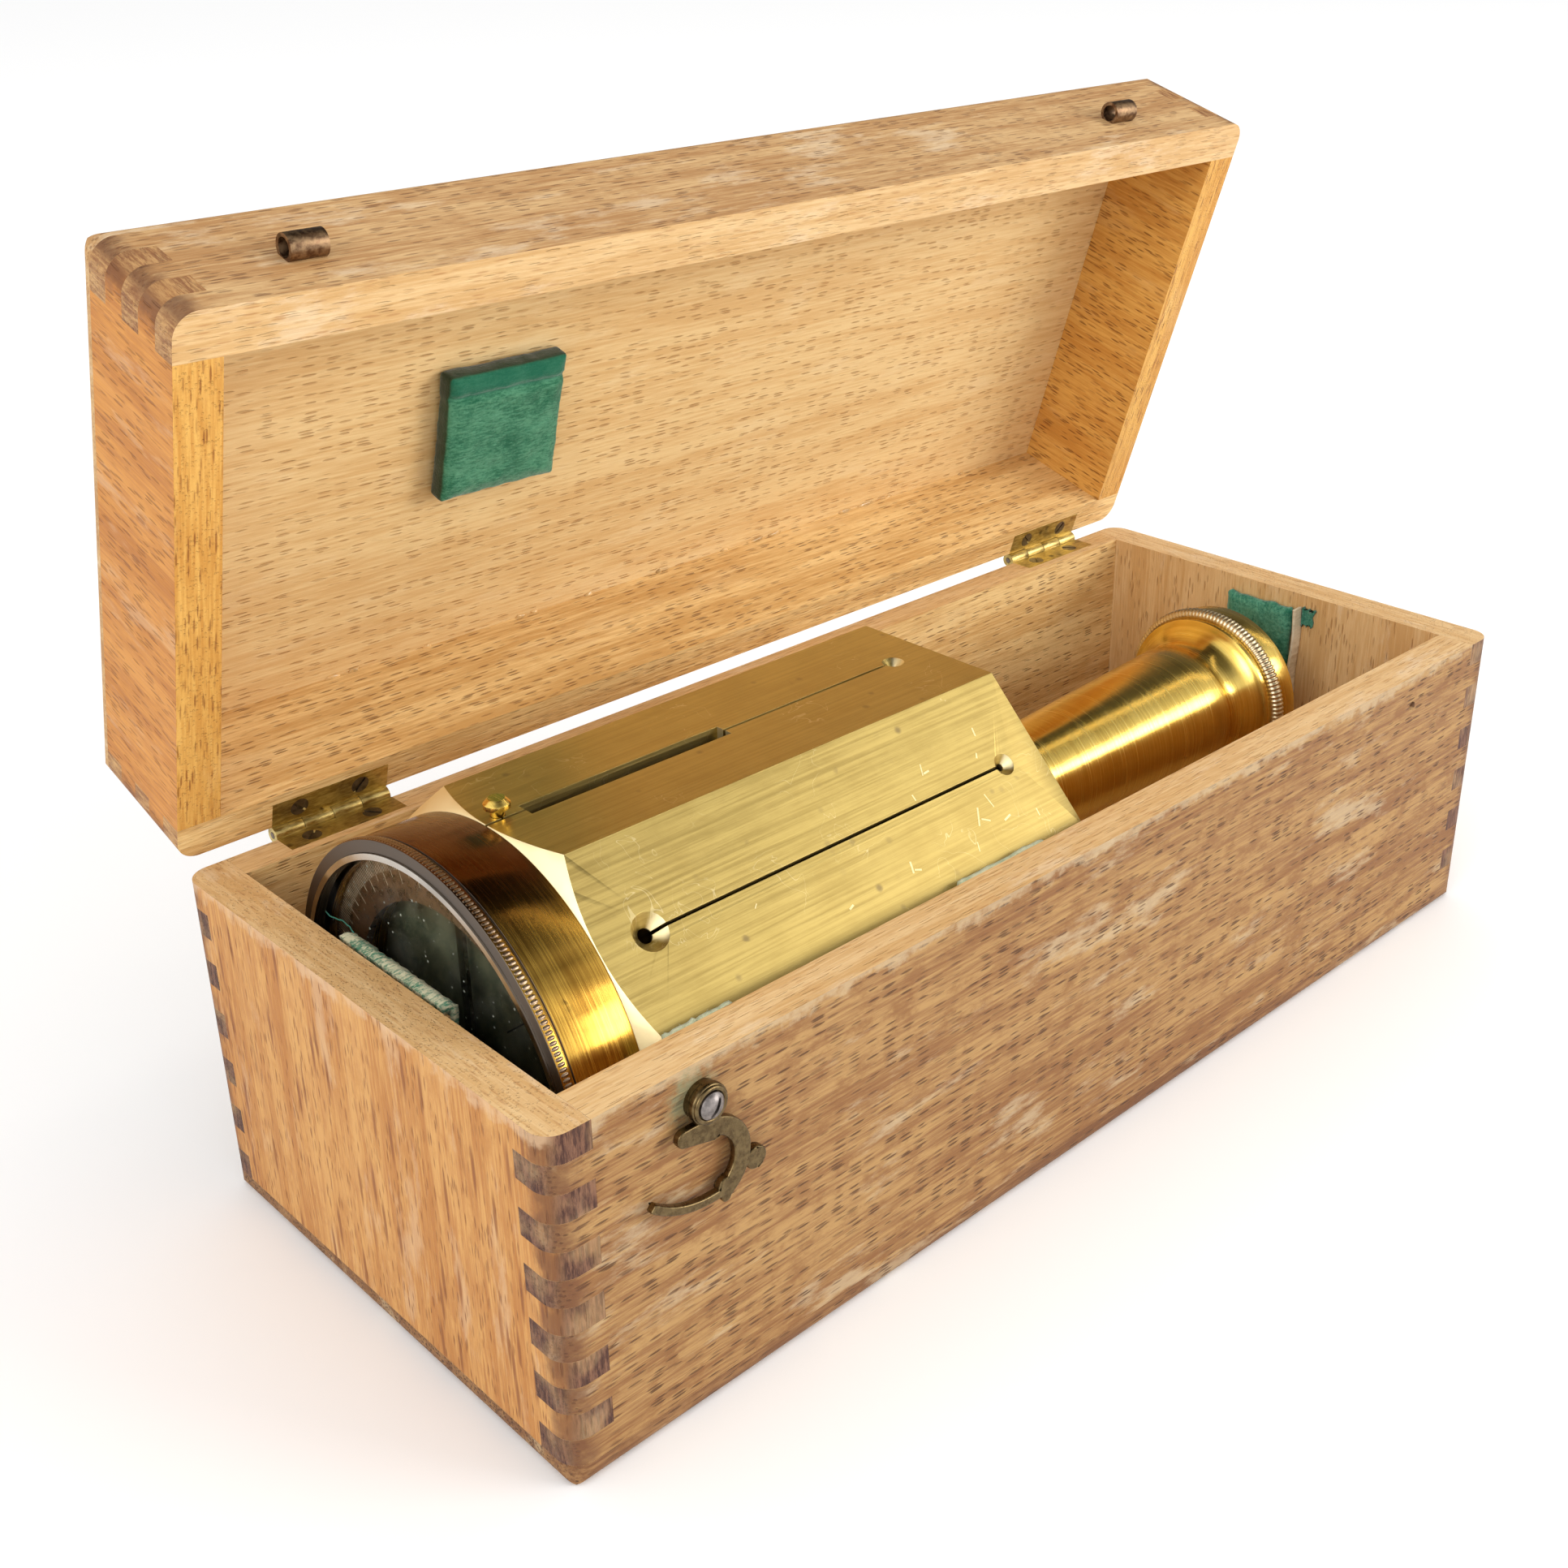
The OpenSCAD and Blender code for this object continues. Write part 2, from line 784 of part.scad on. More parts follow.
// Lifts the needle off its pivot: a ring and arm under the needle, a link through the
// floor, and a foot below the arrest button.
module lifter_arm() {
    color("gold") {
        difference() {
            union() {
                on_axis(collar_x + lifter_at) cylinder(r = 2.8, h = lifter_t);
                translate([collar_x + lifter_at, axis_y - 0.8, axis_z + 1])
                    cube([lifter_t, 1.6, link_r]);
            }
            on_axis(collar_x) cylinder(r = 1.4, h = collar_l);
        }
        translate([collar_x + lifter_at + lifter_t, axis_y, axis_z + link_r]) rotate([0, 90, 0])
            cylinder(r = 0.8, h = foot_at - lifter_at - lifter_t);
        translate([collar_x + foot_at, axis_y - 0.8, axis_z + link_r - 1]) cube([0.8, 2.4, 9.4]);
    }
}

// Push button that works the lifter; it goes in by button_travel.
module arrest_button() {
    color("gold") translate([collar_x + button_at, button_y, axis_z + apothem]) {
        translate([0, 0, button_travel + 0.1]) cylinder(r = button_r, h = 0.7);
        translate([0, 0, button_travel + 0.8]) cylinder(r1 = button_r, r2 = 1.2, h = 0.7);
        translate([0, 0, -2.9]) cylinder(r = 1, h = 2.9 + button_travel + 0.1);
    }
}

// ---- Staff socket ----

module staff_socket() {
    color("gold") difference() {
        on_axis(socket_x) rotate_extrude() socket_profile();
        on_axis(socket_x - cut) cylinder(r = spigot_r + fit, h = solid_l - 1 + cut);
        on_axis(socket_x + solid_l)
            cylinder(r1 = throat_r, r2 = mouth_r, h = socket_l - mouth_l - solid_l);
        on_axis(socket_x + socket_l - mouth_l) cylinder(r = mouth_r, h = mouth_l + cut);
    }
}

// Half outline: cone, bead, ogee flare, seat of the knurled ring, polished lip.
module socket_profile() {
    flare_at = cone_l + bead_l;
    difference() {
        union() {
            polygon([[0, 0], [neck_r, 0], [cone_r, cone_l], [0, cone_l]]);
            translate([0, cone_l]) square([cone_r - 0.2, bead_l]);
            translate([bead_r - bead_l / 2, cone_l + bead_l / 2]) circle(r = bead_l / 2);
            translate([0, flare_at]) square([flare_r, flare_end - flare_at]);
            translate([0, flare_end]) square([flare_r, knurl_l]);
            translate([0, flare_end + knurl_l]) square([lip_r, socket_l - flare_end - knurl_l]);
        }
        translate([flare_r + 1.6, flare_at - 1.1]) circle(r = 5.4);
    }
}

module knurled_socket_ring() {
    color("darkkhaki") on_axis(socket_x + flare_end) difference() {
        cylinder(r = knurl_r, h = knurl_l);
        translate([0, 0, -cut]) cylinder(r = flare_r, h = knurl_l + 2 * cut);
    }
}

case_bottom_board();
case_front_panel();
case_rear_panel();
case_left_panel();
case_right_panel();
left_cradle();
right_cradle();
left_cradle_felt();
right_cradle_felt();
left_end_block();
left_end_felt();
right_end_pad();
right_end_edging();
left_hinge_lower_leaf();
right_hinge_lower_leaf();
hinge_pins();
lower_hinge_screws();
hook_pivot_screw();
hook_washer();
lid_top_board();
lid_front_panel();
lid_rear_panel();
lid_left_panel();
lid_right_panel();
lid_pad();
left_hinge_upper_leaf();
right_hinge_upper_leaf();
upper_hinge_screws();
left_hook_eye();
right_hook_eye();
hook();
sight_drum();
drum_end_plate();
socket_spigot();
compass_housing();
compass_bezel();
compass_glass();
degree_ring();
compass_dial();
needle_pivot();
lifter_arm();
compass_needle();
needle_cap();
arrest_button();
staff_socket();
knurled_socket_ring();
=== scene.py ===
"""Looks for a cased surveying cross head: worn beech case, brass octagonal head, compass.

Everything is in metres in the row frame: origin at the centre of the case's underside, +X along
the case towards the staff socket, -Y out of the front, +Z up. Shader coordinates are in
millimetres, in the closed case's frame, so that a pattern follows the lid when it swings.
"""
import json
import math
import random

import bmesh
import bpy
from mathutils import Matrix, Vector, noise


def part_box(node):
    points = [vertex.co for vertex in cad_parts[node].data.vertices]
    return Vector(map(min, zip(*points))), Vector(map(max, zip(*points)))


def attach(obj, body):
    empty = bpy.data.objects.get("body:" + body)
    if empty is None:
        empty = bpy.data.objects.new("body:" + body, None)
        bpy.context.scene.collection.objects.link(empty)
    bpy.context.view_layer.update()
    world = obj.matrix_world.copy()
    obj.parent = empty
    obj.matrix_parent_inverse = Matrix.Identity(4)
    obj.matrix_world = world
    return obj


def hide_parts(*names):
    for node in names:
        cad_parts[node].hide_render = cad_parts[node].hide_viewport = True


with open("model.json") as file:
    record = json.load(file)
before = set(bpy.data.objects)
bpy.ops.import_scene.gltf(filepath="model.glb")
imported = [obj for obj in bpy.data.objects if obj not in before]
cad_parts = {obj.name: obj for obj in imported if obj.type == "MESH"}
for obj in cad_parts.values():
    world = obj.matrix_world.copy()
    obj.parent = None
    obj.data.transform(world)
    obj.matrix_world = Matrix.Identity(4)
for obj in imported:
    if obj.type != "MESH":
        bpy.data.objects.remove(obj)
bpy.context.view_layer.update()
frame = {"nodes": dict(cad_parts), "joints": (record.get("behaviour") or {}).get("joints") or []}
NODES = frame["nodes"]
JOINTS = {joint["name"]: joint for joint in frame["joints"]}
MM = 0.001

# ---- Places taken from the frame ----

HINGE = Vector(JOINTS["lid_hinge"]["pos_m"])
LID_OPEN = -math.radians(JOINTS["lid_hinge"]["range_deg"][0])
AXIS = Vector(JOINTS["socket_turn"]["pos_m"])
CASE_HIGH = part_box("case_rear_panel")[1]


def lid_matrix():
    """Carries a point from the closed lid's place to where the lid stands open."""
    turn = Matrix.Rotation(-LID_OPEN, 4, "X")
    return Matrix.Translation(HINGE) @ turn @ Matrix.Translation(-HINGE)


def linked(name, data):
    """A new object in the scene that shows data."""
    made = bpy.data.objects.new(name, data)
    bpy.context.scene.collection.objects.link(made)
    return made


# ---- Shader building ----

# The colour sockets of a Mix node: its two inputs and its output
MIX_A, MIX_B, MIX_COLOUR = 6, 7, 2


class Graph:
    """A node tree whose nodes are added and wired by short calls."""

    def __init__(self, owner, output="ShaderNodeOutputMaterial"):
        owner.use_nodes = True
        self.owner = owner
        self.tree = owner.node_tree
        self.tree.nodes.clear()
        self.output = self.tree.nodes.new(output)
        self.texture = self.tree.nodes.new("ShaderNodeTexCoord")

    def put(self, socket, value):
        if isinstance(value, bpy.types.NodeSocket):
            self.tree.links.new(value, socket)
        elif value is not None:
            socket.default_value = value

    def add(self, kind, *inputs, **settings):
        node = self.tree.nodes.new("ShaderNode" + kind)
        for key, value in settings.items():
            setattr(node, key, value)
        for socket, value in zip(node.inputs, inputs):
            self.put(socket, value)
        return node

    def math(self, operation, a, b=None):
        return self.add("Math", a, b, operation=operation).outputs[0]

    def times(self, *factors):
        product = factors[0]
        for factor in factors[1:]:
            product = self.math("MULTIPLY", product, factor)
        return product

    def most(self, a, b):
        return self.math("MAXIMUM", a, b)

    def mix(self, factor, a, b):
        node = self.add("Mix", factor, data_type="RGBA")
        self.put(node.inputs[MIX_A], rgba(a))
        self.put(node.inputs[MIX_B], rgba(b))
        return node.outputs[MIX_COLOUR]

    def step(self, value, low, high, to_low=0.0, to_high=1.0):
        """Smooth step of value between low and high."""
        return self.add("MapRange", value, low, high, to_low, to_high,
                        interpolation_type="SMOOTHSTEP").outputs[0]

    def noise(self, where, scale=1.0, detail=4.0, rough=0.55, distortion=0.0):
        node = self.add("TexNoise")
        self.put(node.inputs["Vector"], where)
        self.put(node.inputs["Scale"], scale)
        self.put(node.inputs["Detail"], detail)
        self.put(node.inputs["Roughness"], rough)
        self.put(node.inputs["Distortion"], distortion)
        return node.outputs[0]

    def cells(self, where, scale=1.0):
        """Voronoi: distance to the nearest cell point, and that cell's random number."""
        node = self.add("TexVoronoi")
        self.put(node.inputs["Vector"], where)
        self.put(node.inputs["Scale"], scale)
        return node.outputs[0], self.add("SeparateColor", node.outputs[1]).outputs[0]

    def mapped(self, where, scale, shift=(0, 0, 0)):
        node = self.add("Mapping", where)
        node.inputs["Scale"].default_value = scale
        node.inputs["Location"].default_value = shift
        return node.outputs[0]

    def place(self, lid=False):
        """Object coordinates in millimetres, in the closed case's frame."""
        where = self.texture.outputs["Object"]
        if lid:
            back = lid_matrix().inverted()
            node = self.add("Mapping", where)
            node.inputs["Location"].default_value = back.translation
            node.inputs["Rotation"].default_value = back.to_euler()
            where = node.outputs[0]
        return self.mapped(where, (1000, 1000, 1000))

    def facing(self, lid=False):
        """The surface's own direction, in the closed case's frame, as x, y and z."""
        where = self.texture.outputs["Normal"]
        if lid:
            node = self.add("Mapping", where, vector_type="NORMAL")
            node.inputs["Rotation"].default_value = lid_matrix().inverted().to_euler()
            where = node.outputs[0]
        return self.add("SeparateXYZ", where).outputs

    def parts(self, vector):
        return self.add("SeparateXYZ", vector).outputs

    def bump(self, height, distance, strength):
        node = self.add("Bump")
        node.inputs["Strength"].default_value = strength
        node.inputs["Distance"].default_value = distance
        self.put(node.inputs["Height"], height)
        return node.outputs[0]

    def shader(self, **inputs):
        node = self.tree.nodes.new("ShaderNodeBsdfPrincipled")
        for key, value in inputs.items():
            socket = node.inputs[key.replace("_", " ")]
            self.put(socket, rgba(value) if socket.type == "RGBA" else value)
        self.tree.links.new(node.outputs[0], self.output.inputs[0])
        return self.owner


def rgba(colour):
    if isinstance(colour, tuple) and len(colour) == 3:
        return (*colour, 1.0)
    return colour


def material(name):
    return Graph(bpy.data.materials.new(name))


# ---- Camera, floor and light ----

CAMERA_PLACE = Vector((-0.20683, -0.19515, 0.19105))
CAMERA_AZIMUTH = math.radians(43.08)
CAMERA_DROP = math.radians(25.25)
CAMERA_ROLL = math.radians(0.86)
CAMERA_LENS = 43.73
CAMERA_SHIFT = (-0.0152, -0.0343)
AMBIENT = 0.97
FLOOR_SIDE = 60
LIGHT_AIM = Vector((0, 0, 0.06))
# name, place, width and height, power, colour
LIGHTS = [
    ("window", (1.25, -1.45, 0.62), (1.1, 0.7), 20.0, (1.0, 0.98, 0.95)),
    ("side", (-1.7, -0.55, 0.85), (0.8, 0.7), 11.0, (1.0, 0.99, 0.97)),
    ("strip", (0.85, -0.2, 1.05), (0.05, 1.2), 0.8, (1.0, 0.86, 0.62)),
]


def make_camera():
    data = bpy.data.cameras.new("camera")
    data.lens = CAMERA_LENS
    data.sensor_width = 36
    data.shift_x, data.shift_y = CAMERA_SHIFT
    data.clip_start = 0.01
    camera = linked("camera", data)
    turn = Matrix.Rotation(-CAMERA_AZIMUTH, 4, "Z")
    tilt = Matrix.Rotation(math.pi / 2 - CAMERA_DROP, 4, "X")
    roll = Matrix.Rotation(-CAMERA_ROLL, 4, "Z")
    camera.matrix_world = Matrix.Translation(CAMERA_PLACE) @ turn @ tilt @ roll
    bpy.context.scene.camera = camera


def make_world():
    """Even white light, except that glossy surfaces see a room: windows ahead, dim above."""
    g = Graph(bpy.data.worlds.new("studio"), "ShaderNodeOutputWorld")
    toward = g.parts(g.texture.outputs["Generated"])
    ahead = g.step(toward[1], 0.05, -0.4, 0.14, 1.0)
    height = g.step(toward[2], 0.9, 0.45, 0.12, 1.0)
    left = g.step(toward[0], -0.3, -0.6, 0.0, 1.3)
    glossy = g.add("LightPath").outputs["Is Glossy Ray"]
    room = g.most(g.times(ahead, height), left)
    light = g.mix(glossy, (AMBIENT, AMBIENT, AMBIENT), room)
    background = g.add("Background", light, 1.0)
    g.tree.links.new(background.outputs[0], g.output.inputs[0])
    bpy.context.scene.world = g.owner
    bpy.context.scene.view_settings.view_transform = "Standard"


def make_lights():
    for name, place, size, power, colour in LIGHTS:
        data = bpy.data.lights.new(name, "AREA")
        data.shape = "RECTANGLE"
        data.size, data.size_y = size
        data.energy = power
        data.color = colour
        light = linked(name, data)
        light.location = place
        aim = LIGHT_AIM - Vector(place)
        light.rotation_euler = aim.to_track_quat("-Z", "Y").to_euler()


def make_floor():
    half = FLOOR_SIDE / 2
    mesh = bpy.data.meshes.new("floor")
    mesh.from_pydata([(-half, -half, 0), (half, -half, 0), (half, half, 0), (-half, half, 0)],
                     [], [(0, 1, 2, 3)])
    floor = linked("floor", mesh)
    g = material("floor")
    floor.data.materials.append(g.shader(Base_Color=(0.97, 0.97, 0.97), Roughness=0.9,
                                         Specular_IOR_Level=0.0))


# ---- Wood ----

GRAIN_X = (0.05, 1, 1)
GRAIN_Y = (1, 0.05, 1)
GRAIN_Z = (1, 1, 0.05)
# Each look: its light and dark tones, the colours of its pore marks and of its haze of wear, and
# how strong the marks, the haze, the mottled dirt and any long dark streaks are.
BOARD = dict(light=(0.82, 0.59, 0.29), dark=(0.70, 0.44, 0.185), mark=(0.44, 0.20, 0.06),
             haze=(0.88, 0.70, 0.42), marks=0.5, hazes=0.25, dirt=0.1)
RIM = dict(light=(0.76, 0.52, 0.26), dark=(0.62, 0.37, 0.15), mark=(0.40, 0.18, 0.06),
           haze=(0.82, 0.66, 0.46), marks=0.5, hazes=0.4, dirt=0.25)
GOLD = dict(light=(0.76, 0.43, 0.11), dark=(0.58, 0.27, 0.055), mark=(0.26, 0.09, 0.02),
            haze=(0.80, 0.58, 0.30), marks=0.8, hazes=0.15, dirt=0.3)
WORN = dict(light=(0.43, 0.25, 0.095), dark=(0.24, 0.105, 0.036), mark=(0.085, 0.033, 0.013),
            haze=(0.54, 0.41, 0.25), marks=0.8, hazes=0.62, dirt=0.75)
TAN = dict(light=(0.62, 0.40, 0.185), dark=(0.42, 0.215, 0.08), mark=(0.20, 0.08, 0.03),
           haze=(0.72, 0.57, 0.38), marks=0.6, hazes=0.52, dirt=0.55)
DEEP = dict(light=(0.33, 0.175, 0.07), dark=(0.17, 0.07, 0.027), mark=(0.07, 0.03, 0.014),
            haze=(0.52, 0.38, 0.22), marks=0.8, hazes=0.6, dirt=0.7)
AMBER = dict(light=(0.62, 0.33, 0.11), dark=(0.44, 0.18, 0.045), mark=(0.22, 0.07, 0.02),
             haze=(0.66, 0.45, 0.27), marks=0.8, hazes=0.42, dirt=0.5, streaks=0.75)
EMBER = dict(light=(0.62, 0.28, 0.070), dark=(0.45, 0.17, 0.036), mark=(0.26, 0.09, 0.025),
             haze=(0.66, 0.45, 0.27), marks=0.5, hazes=0.35, dirt=0.4)
LONG = dict(light=(0.86, 0.60, 0.27), dark=(0.60, 0.34, 0.115), mark=(0.18, 0.07, 0.02),
            haze=(0.84, 0.64, 0.36), marks=0.6, hazes=0.2, dirt=0.3)
END_TONES = ((0.060, 0.024, 0.018), (0.21, 0.100, 0.058))
LID_END_TONES = ((0.24, 0.10, 0.04), (0.50, 0.28, 0.11))
GRIME = (0.15, 0.06, 0.028)
VERDIGRIS = (0.22, 0.27, 0.16)


def along(grain, length, width):
    """Shader scale for marks of that length along the grain and that width across it."""
    return tuple(1 / length if share < 0.5 else 1 / width for share in grain)


# How far a face's patterns move for each step of its seed, so that no two boards match
SEED_SHIFT = (17.3, 7.1, 3.7)


def planed(g, where, grain, look, seed):
    """A wood face's colour and height, and its fibres: tone, dirt, worn haze, marks, streaks."""
    shift = tuple(seed * part for part in SEED_SHIFT)
    streak = g.noise(g.mapped(where, along(grain, 70, 5), shift), 1, 3, 0.6, 0.5)
    fibre = g.noise(g.mapped(where, along(grain, 9, 0.42), shift), 1, 3, 0.6)
    tone = g.math("ADD", g.times(streak, 0.55), g.times(fibre, 0.55))
    colour = g.mix(g.step(tone, 0.42, 0.68), look["dark"], look["light"])
    mottle = g.noise(g.mapped(where, along(grain, 7, 4), shift), 1, 6, 0.68)
    colour = g.mix(g.times(g.step(mottle, 0.47, 0.66), look["dirt"]), colour, look["dark"])
    haze = g.noise(g.mapped(where, along(grain, 26, 7), shift), 1, 7, 0.68)
    colour = g.mix(g.times(g.step(haze, 0.54, 0.66), look["hazes"]), colour, look["haze"])
    near, pick = g.cells(g.mapped(where, along(grain, 3.3, 0.44), shift))
    marks = g.times(g.step(near, 0.46, 0.22), g.step(pick, 0.35, 0.75))
    marks = g.times(marks, g.step(g.noise(where, 0.09, 3), 0.32, 0.55, 0.4, 1.0))
    colour = g.mix(g.times(marks, look["marks"]), colour, look["mark"])
    if "streaks" in look:
        near, pick = g.cells(g.mapped(where, along(grain, 15, 1.5), shift))
        streaks = g.times(g.step(near, 0.36, 0.12), g.step(pick, 0.78, 0.84))
        colour = g.mix(g.times(streaks, look["streaks"]), colour, look["mark"])
    height = g.math("SUBTRACT", g.times(fibre, 0.5), g.times(marks, 0.9))
    return colour, height, fibre


def edge_grime(g, where, ragged, index):
    """1 along the outer face's two ends and its foot, fading in broken patches."""
    at = g.parts(where)
    half = CASE_HIGH[index] / MM
    ends = g.step(g.math("ABSOLUTE", at[index]), half - 9, half)
    foot = g.step(at[2], 5.5, 1.5)
    broken = g.math("SUBTRACT", ragged, 0.5)
    return g.step(g.math("ADD", g.most(ends, foot), broken), 0.35, 0.95)


def weathered(g, where, colour, look, index, lid):
    """Adds grime to an outer face and, but for the lid, rubs its top edge pale."""
    ragged = g.noise(where, 0.25, 5, 0.65)
    colour = g.mix(g.times(edge_grime(g, where, ragged, index), 0.8), colour, GRIME)
    if lid:
        return colour
    rubbed = g.step(g.math("ADD", g.parts(where)[2], g.times(ragged, 9)), 57.5, 59.5)
    return g.mix(g.times(rubbed, 0.6), colour, look["haze"])


def bloom(g, where, spot):
    """Patchy ring of corrosion that a fitting at spot has left on the wood."""
    away = g.add("VectorMath", where, spot, operation="DISTANCE").outputs["Value"]
    return g.step(g.math("ADD", away, g.times(g.noise(where, 0.7, 5, 0.7), 8)), 9.0, 5.5)


def end_grain(g, where, colour, across, tones):
    """Adds porous end grain where the cut ends of fingers look across the board."""
    cut = g.step(g.math("ABSOLUTE", across), 0.6, 0.9)
    pores = g.noise(g.mapped(where, (1.8, 1.8, 0.3)), 1, 5, 0.78)
    patch = g.step(g.noise(where, 0.13, 3), 0.3, 0.55, 0.7, 1.0)
    return g.mix(g.times(cut, patch), colour, g.mix(g.step(pores, 0.38, 0.64), *tones))


def wood(name, outer, inner, outward, rim=RIM, lid=False, seed=0, spot=None):
    """Beech whose outer face looks along outward's axis and sign, on a level board or a panel."""
    g = material(name)
    where, facing = g.place(lid), g.facing(lid)
    index, sign = outward
    panel = index != 2
    grain = GRAIN_X if index else GRAIN_Z
    turned_out = (0.25, 0.75) if panel else (-0.75, -0.25)
    out = g.step(g.times(facing[index], sign), *turned_out)
    colour, height, fibre = planed(g, where, grain, outer, seed)
    inner_colour, inner_height, _ = planed(g, where, grain, inner, seed + 3)
    if panel:
        colour = weathered(g, where, colour, outer, 1 - index, lid)
        rim_colour, _, _ = planed(g, where, GRAIN_X if index else GRAIN_Y, rim, seed + 5)
        level = g.step(g.math("ABSOLUTE", facing[2]), 0.5, 0.9)
        inner_colour = g.mix(level, inner_colour, rim_colour)
    if spot is not None:
        colour = g.mix(g.times(bloom(g, where, spot), 0.6), colour, VERDIGRIS)
    colour = g.mix(out, inner_colour, colour)
    inner_height = g.times(inner_height, g.math("SUBTRACT", 1, out))
    height = g.math("ADD", g.times(height, out), inner_height)
    if panel:
        colour = end_grain(g, where, colour, facing[1 - index], LID_END_TONES if lid else END_TONES)
    return g.shader(Base_Color=colour, Roughness=g.step(fibre, 0.3, 0.75, 0.50, 0.68),
                    Specular_IOR_Level=0.22, Normal=g.bump(height, 0.00022, 0.8))


# ---- Metal, glass and cloth ----

ALONG_X = (0.03, 1.7, 1.7)
AROUND_X = (3.2, 0.05, 0.05)
SCORE_COLOUR = (0.92, 0.82, 0.50)


def metal(name, light, dark, brushed, rough, lid=False, spots=0.0, scratches=0.0,
          spot_colour=(0.06, 0.035, 0.015), anisotropic=0.0, painted_dark_top=None, front=None):
    """Metal whose fine scratches run where the scale in brushed is small.

    spots and scratches say how much of it is tarnished and scored. painted_dark_top is a dark
    colour painted on the top of a part round the instrument's axis, a painted dark reflection of
    the room above, and front a colour painted on the faces turned to the compass end: a painted
    highlight on the drum, a painted dark reflection on the housing.
    """
    g = material(name)
    where = g.place(lid)
    scratch = g.noise(g.mapped(where, brushed), 1, 4, 0.7)
    cloud = g.noise(where, 0.11, 5, 0.62)
    tone = g.math("ADD", g.times(scratch, 0.7), g.times(cloud, 0.3))
    colour = g.mix(g.step(tone, 0.38, 0.62), dark, light)
    if spots:
        near, pick = g.cells(where, 0.5)
        spot = g.times(g.step(near, 0.42, 0.1), g.step(pick, 1 - spots, 1))
        patch = g.times(g.step(g.noise(where, 0.3, 6, 0.7), 0.6, 0.75), spots)
        colour = g.mix(g.most(spot, patch), colour, spot_colour)
    if scratches:
        lines = g.math("ABSOLUTE", g.math("SUBTRACT", g.noise(where, 0.16, 2, 0.4, 1.5), 0.5))
        nick = g.times(g.step(lines, 0.006, 0.002), g.step(g.noise(where, 0.07, 2), 0.5, 0.6))
        colour = g.mix(g.times(nick, scratches), colour, SCORE_COLOUR)
    # Painted dark reflection: the top of the part round the instrument's axis is darkened where the
    # dark room above would be mirrored.
    if painted_dark_top is not None:
        rise = g.math("SUBTRACT", g.parts(where)[2], AXIS.z / MM)
        painted_dark_top_mask = g.step(g.math("ADD", rise, g.times(cloud, 4)), 28.5, 33.5, 0.0, 0.92)
        colour = g.mix(painted_dark_top_mask, colour, painted_dark_top)
    roughness = g.step(scratch, 0.3, 0.7, *rough)
    # Painted light: faces turned to the compass end take the front colour, a painted highlight on
    # the drum and a painted dark reflection on the housing.
    if front is not None:
        ahead = g.step(g.facing()[0], -0.3, -0.6)
        colour = g.mix(ahead, colour, front)
        roughness = g.most(roughness, g.times(ahead, 0.5))
    turned = brushed == AROUND_X
    return g.shader(Base_Color=colour, Metallic=1.0, Roughness=roughness,
                    Anisotropic=anisotropic, Anisotropic_Rotation=0.25 if turned else 0.0,
                    Tangent=g.add("Tangent", direction_type="RADIAL", axis="X").outputs[0],
                    Normal=g.bump(scratch, 0.00002, 0.6))


def mottled(name, colour, rough, metallic=0.0, grain=1.0, dust=0.0, **more):
    """A finish broken by fine mottling and, on what lies open, by specks of dust."""
    g = material(name)
    where = g.place()
    mottle = g.noise(where, grain, 5, 0.65)
    dark = tuple(part * 0.55 for part in colour)
    result = g.mix(g.step(mottle, 0.35, 0.65), dark, colour)
    if dust:
        near, pick = g.cells(where, 0.7)
        speck = g.times(g.step(near, 0.16, 0.08), g.step(pick, 0.72, 0.8))
        result = g.mix(g.times(speck, dust), result, (0.5, 0.48, 0.40))
    return g.shader(Base_Color=result, Metallic=metallic,
                    Roughness=g.step(mottle, 0.3, 0.7, rough * 0.8, min(rough * 1.2, 1)), **more)


def cloth(name, light, dark, thread, lid=False, nap=0.00012, sheen=0.4, side=None, bands=None,
          blend=0.12):
    """Woven or napped fabric, its threads thread mm apart.

    side is the colour of the faces round its edge. bands holds a darker band's far limit, how
    softly it ends and its colour. blend is how softly the light and dark tones meet.
    """
    g = material(name)
    where = g.place(lid)
    weave = g.noise(g.mapped(where, (0.25 / thread, 1 / thread, 1 / thread)), 1, 3, 0.7)
    fuzz = g.noise(where, 0.9 / thread, 4, 0.75)
    cloud = g.noise(where, 0.16, 5, 0.65)
    soft = g.math("ADD", g.times(fuzz, 0.2), g.times(cloud, 0.4))
    tone = g.math("ADD", g.times(weave, 0.4), soft)
    colour = g.mix(g.step(tone, 0.5 - blend, 0.5 + blend), dark, light)
    if bands is not None:
        at, width, deep = bands
        band = g.times(g.step(g.parts(where)[1], at + width, at - width), 0.75)
        colour = g.mix(band, colour, deep)
    if side is not None:
        edge = g.step(g.math("ABSOLUTE", g.facing(lid)[2]), 0.75, 0.35)
        colour = g.mix(g.times(edge, 0.8), colour, side)
    return g.shader(Base_Color=colour, Roughness=0.95, Sheen_Weight=sheen, Sheen_Roughness=0.4,
                    Specular_IOR_Level=0.15,
                    Normal=g.bump(g.math("ADD", weave, fuzz), nap, 0.8))


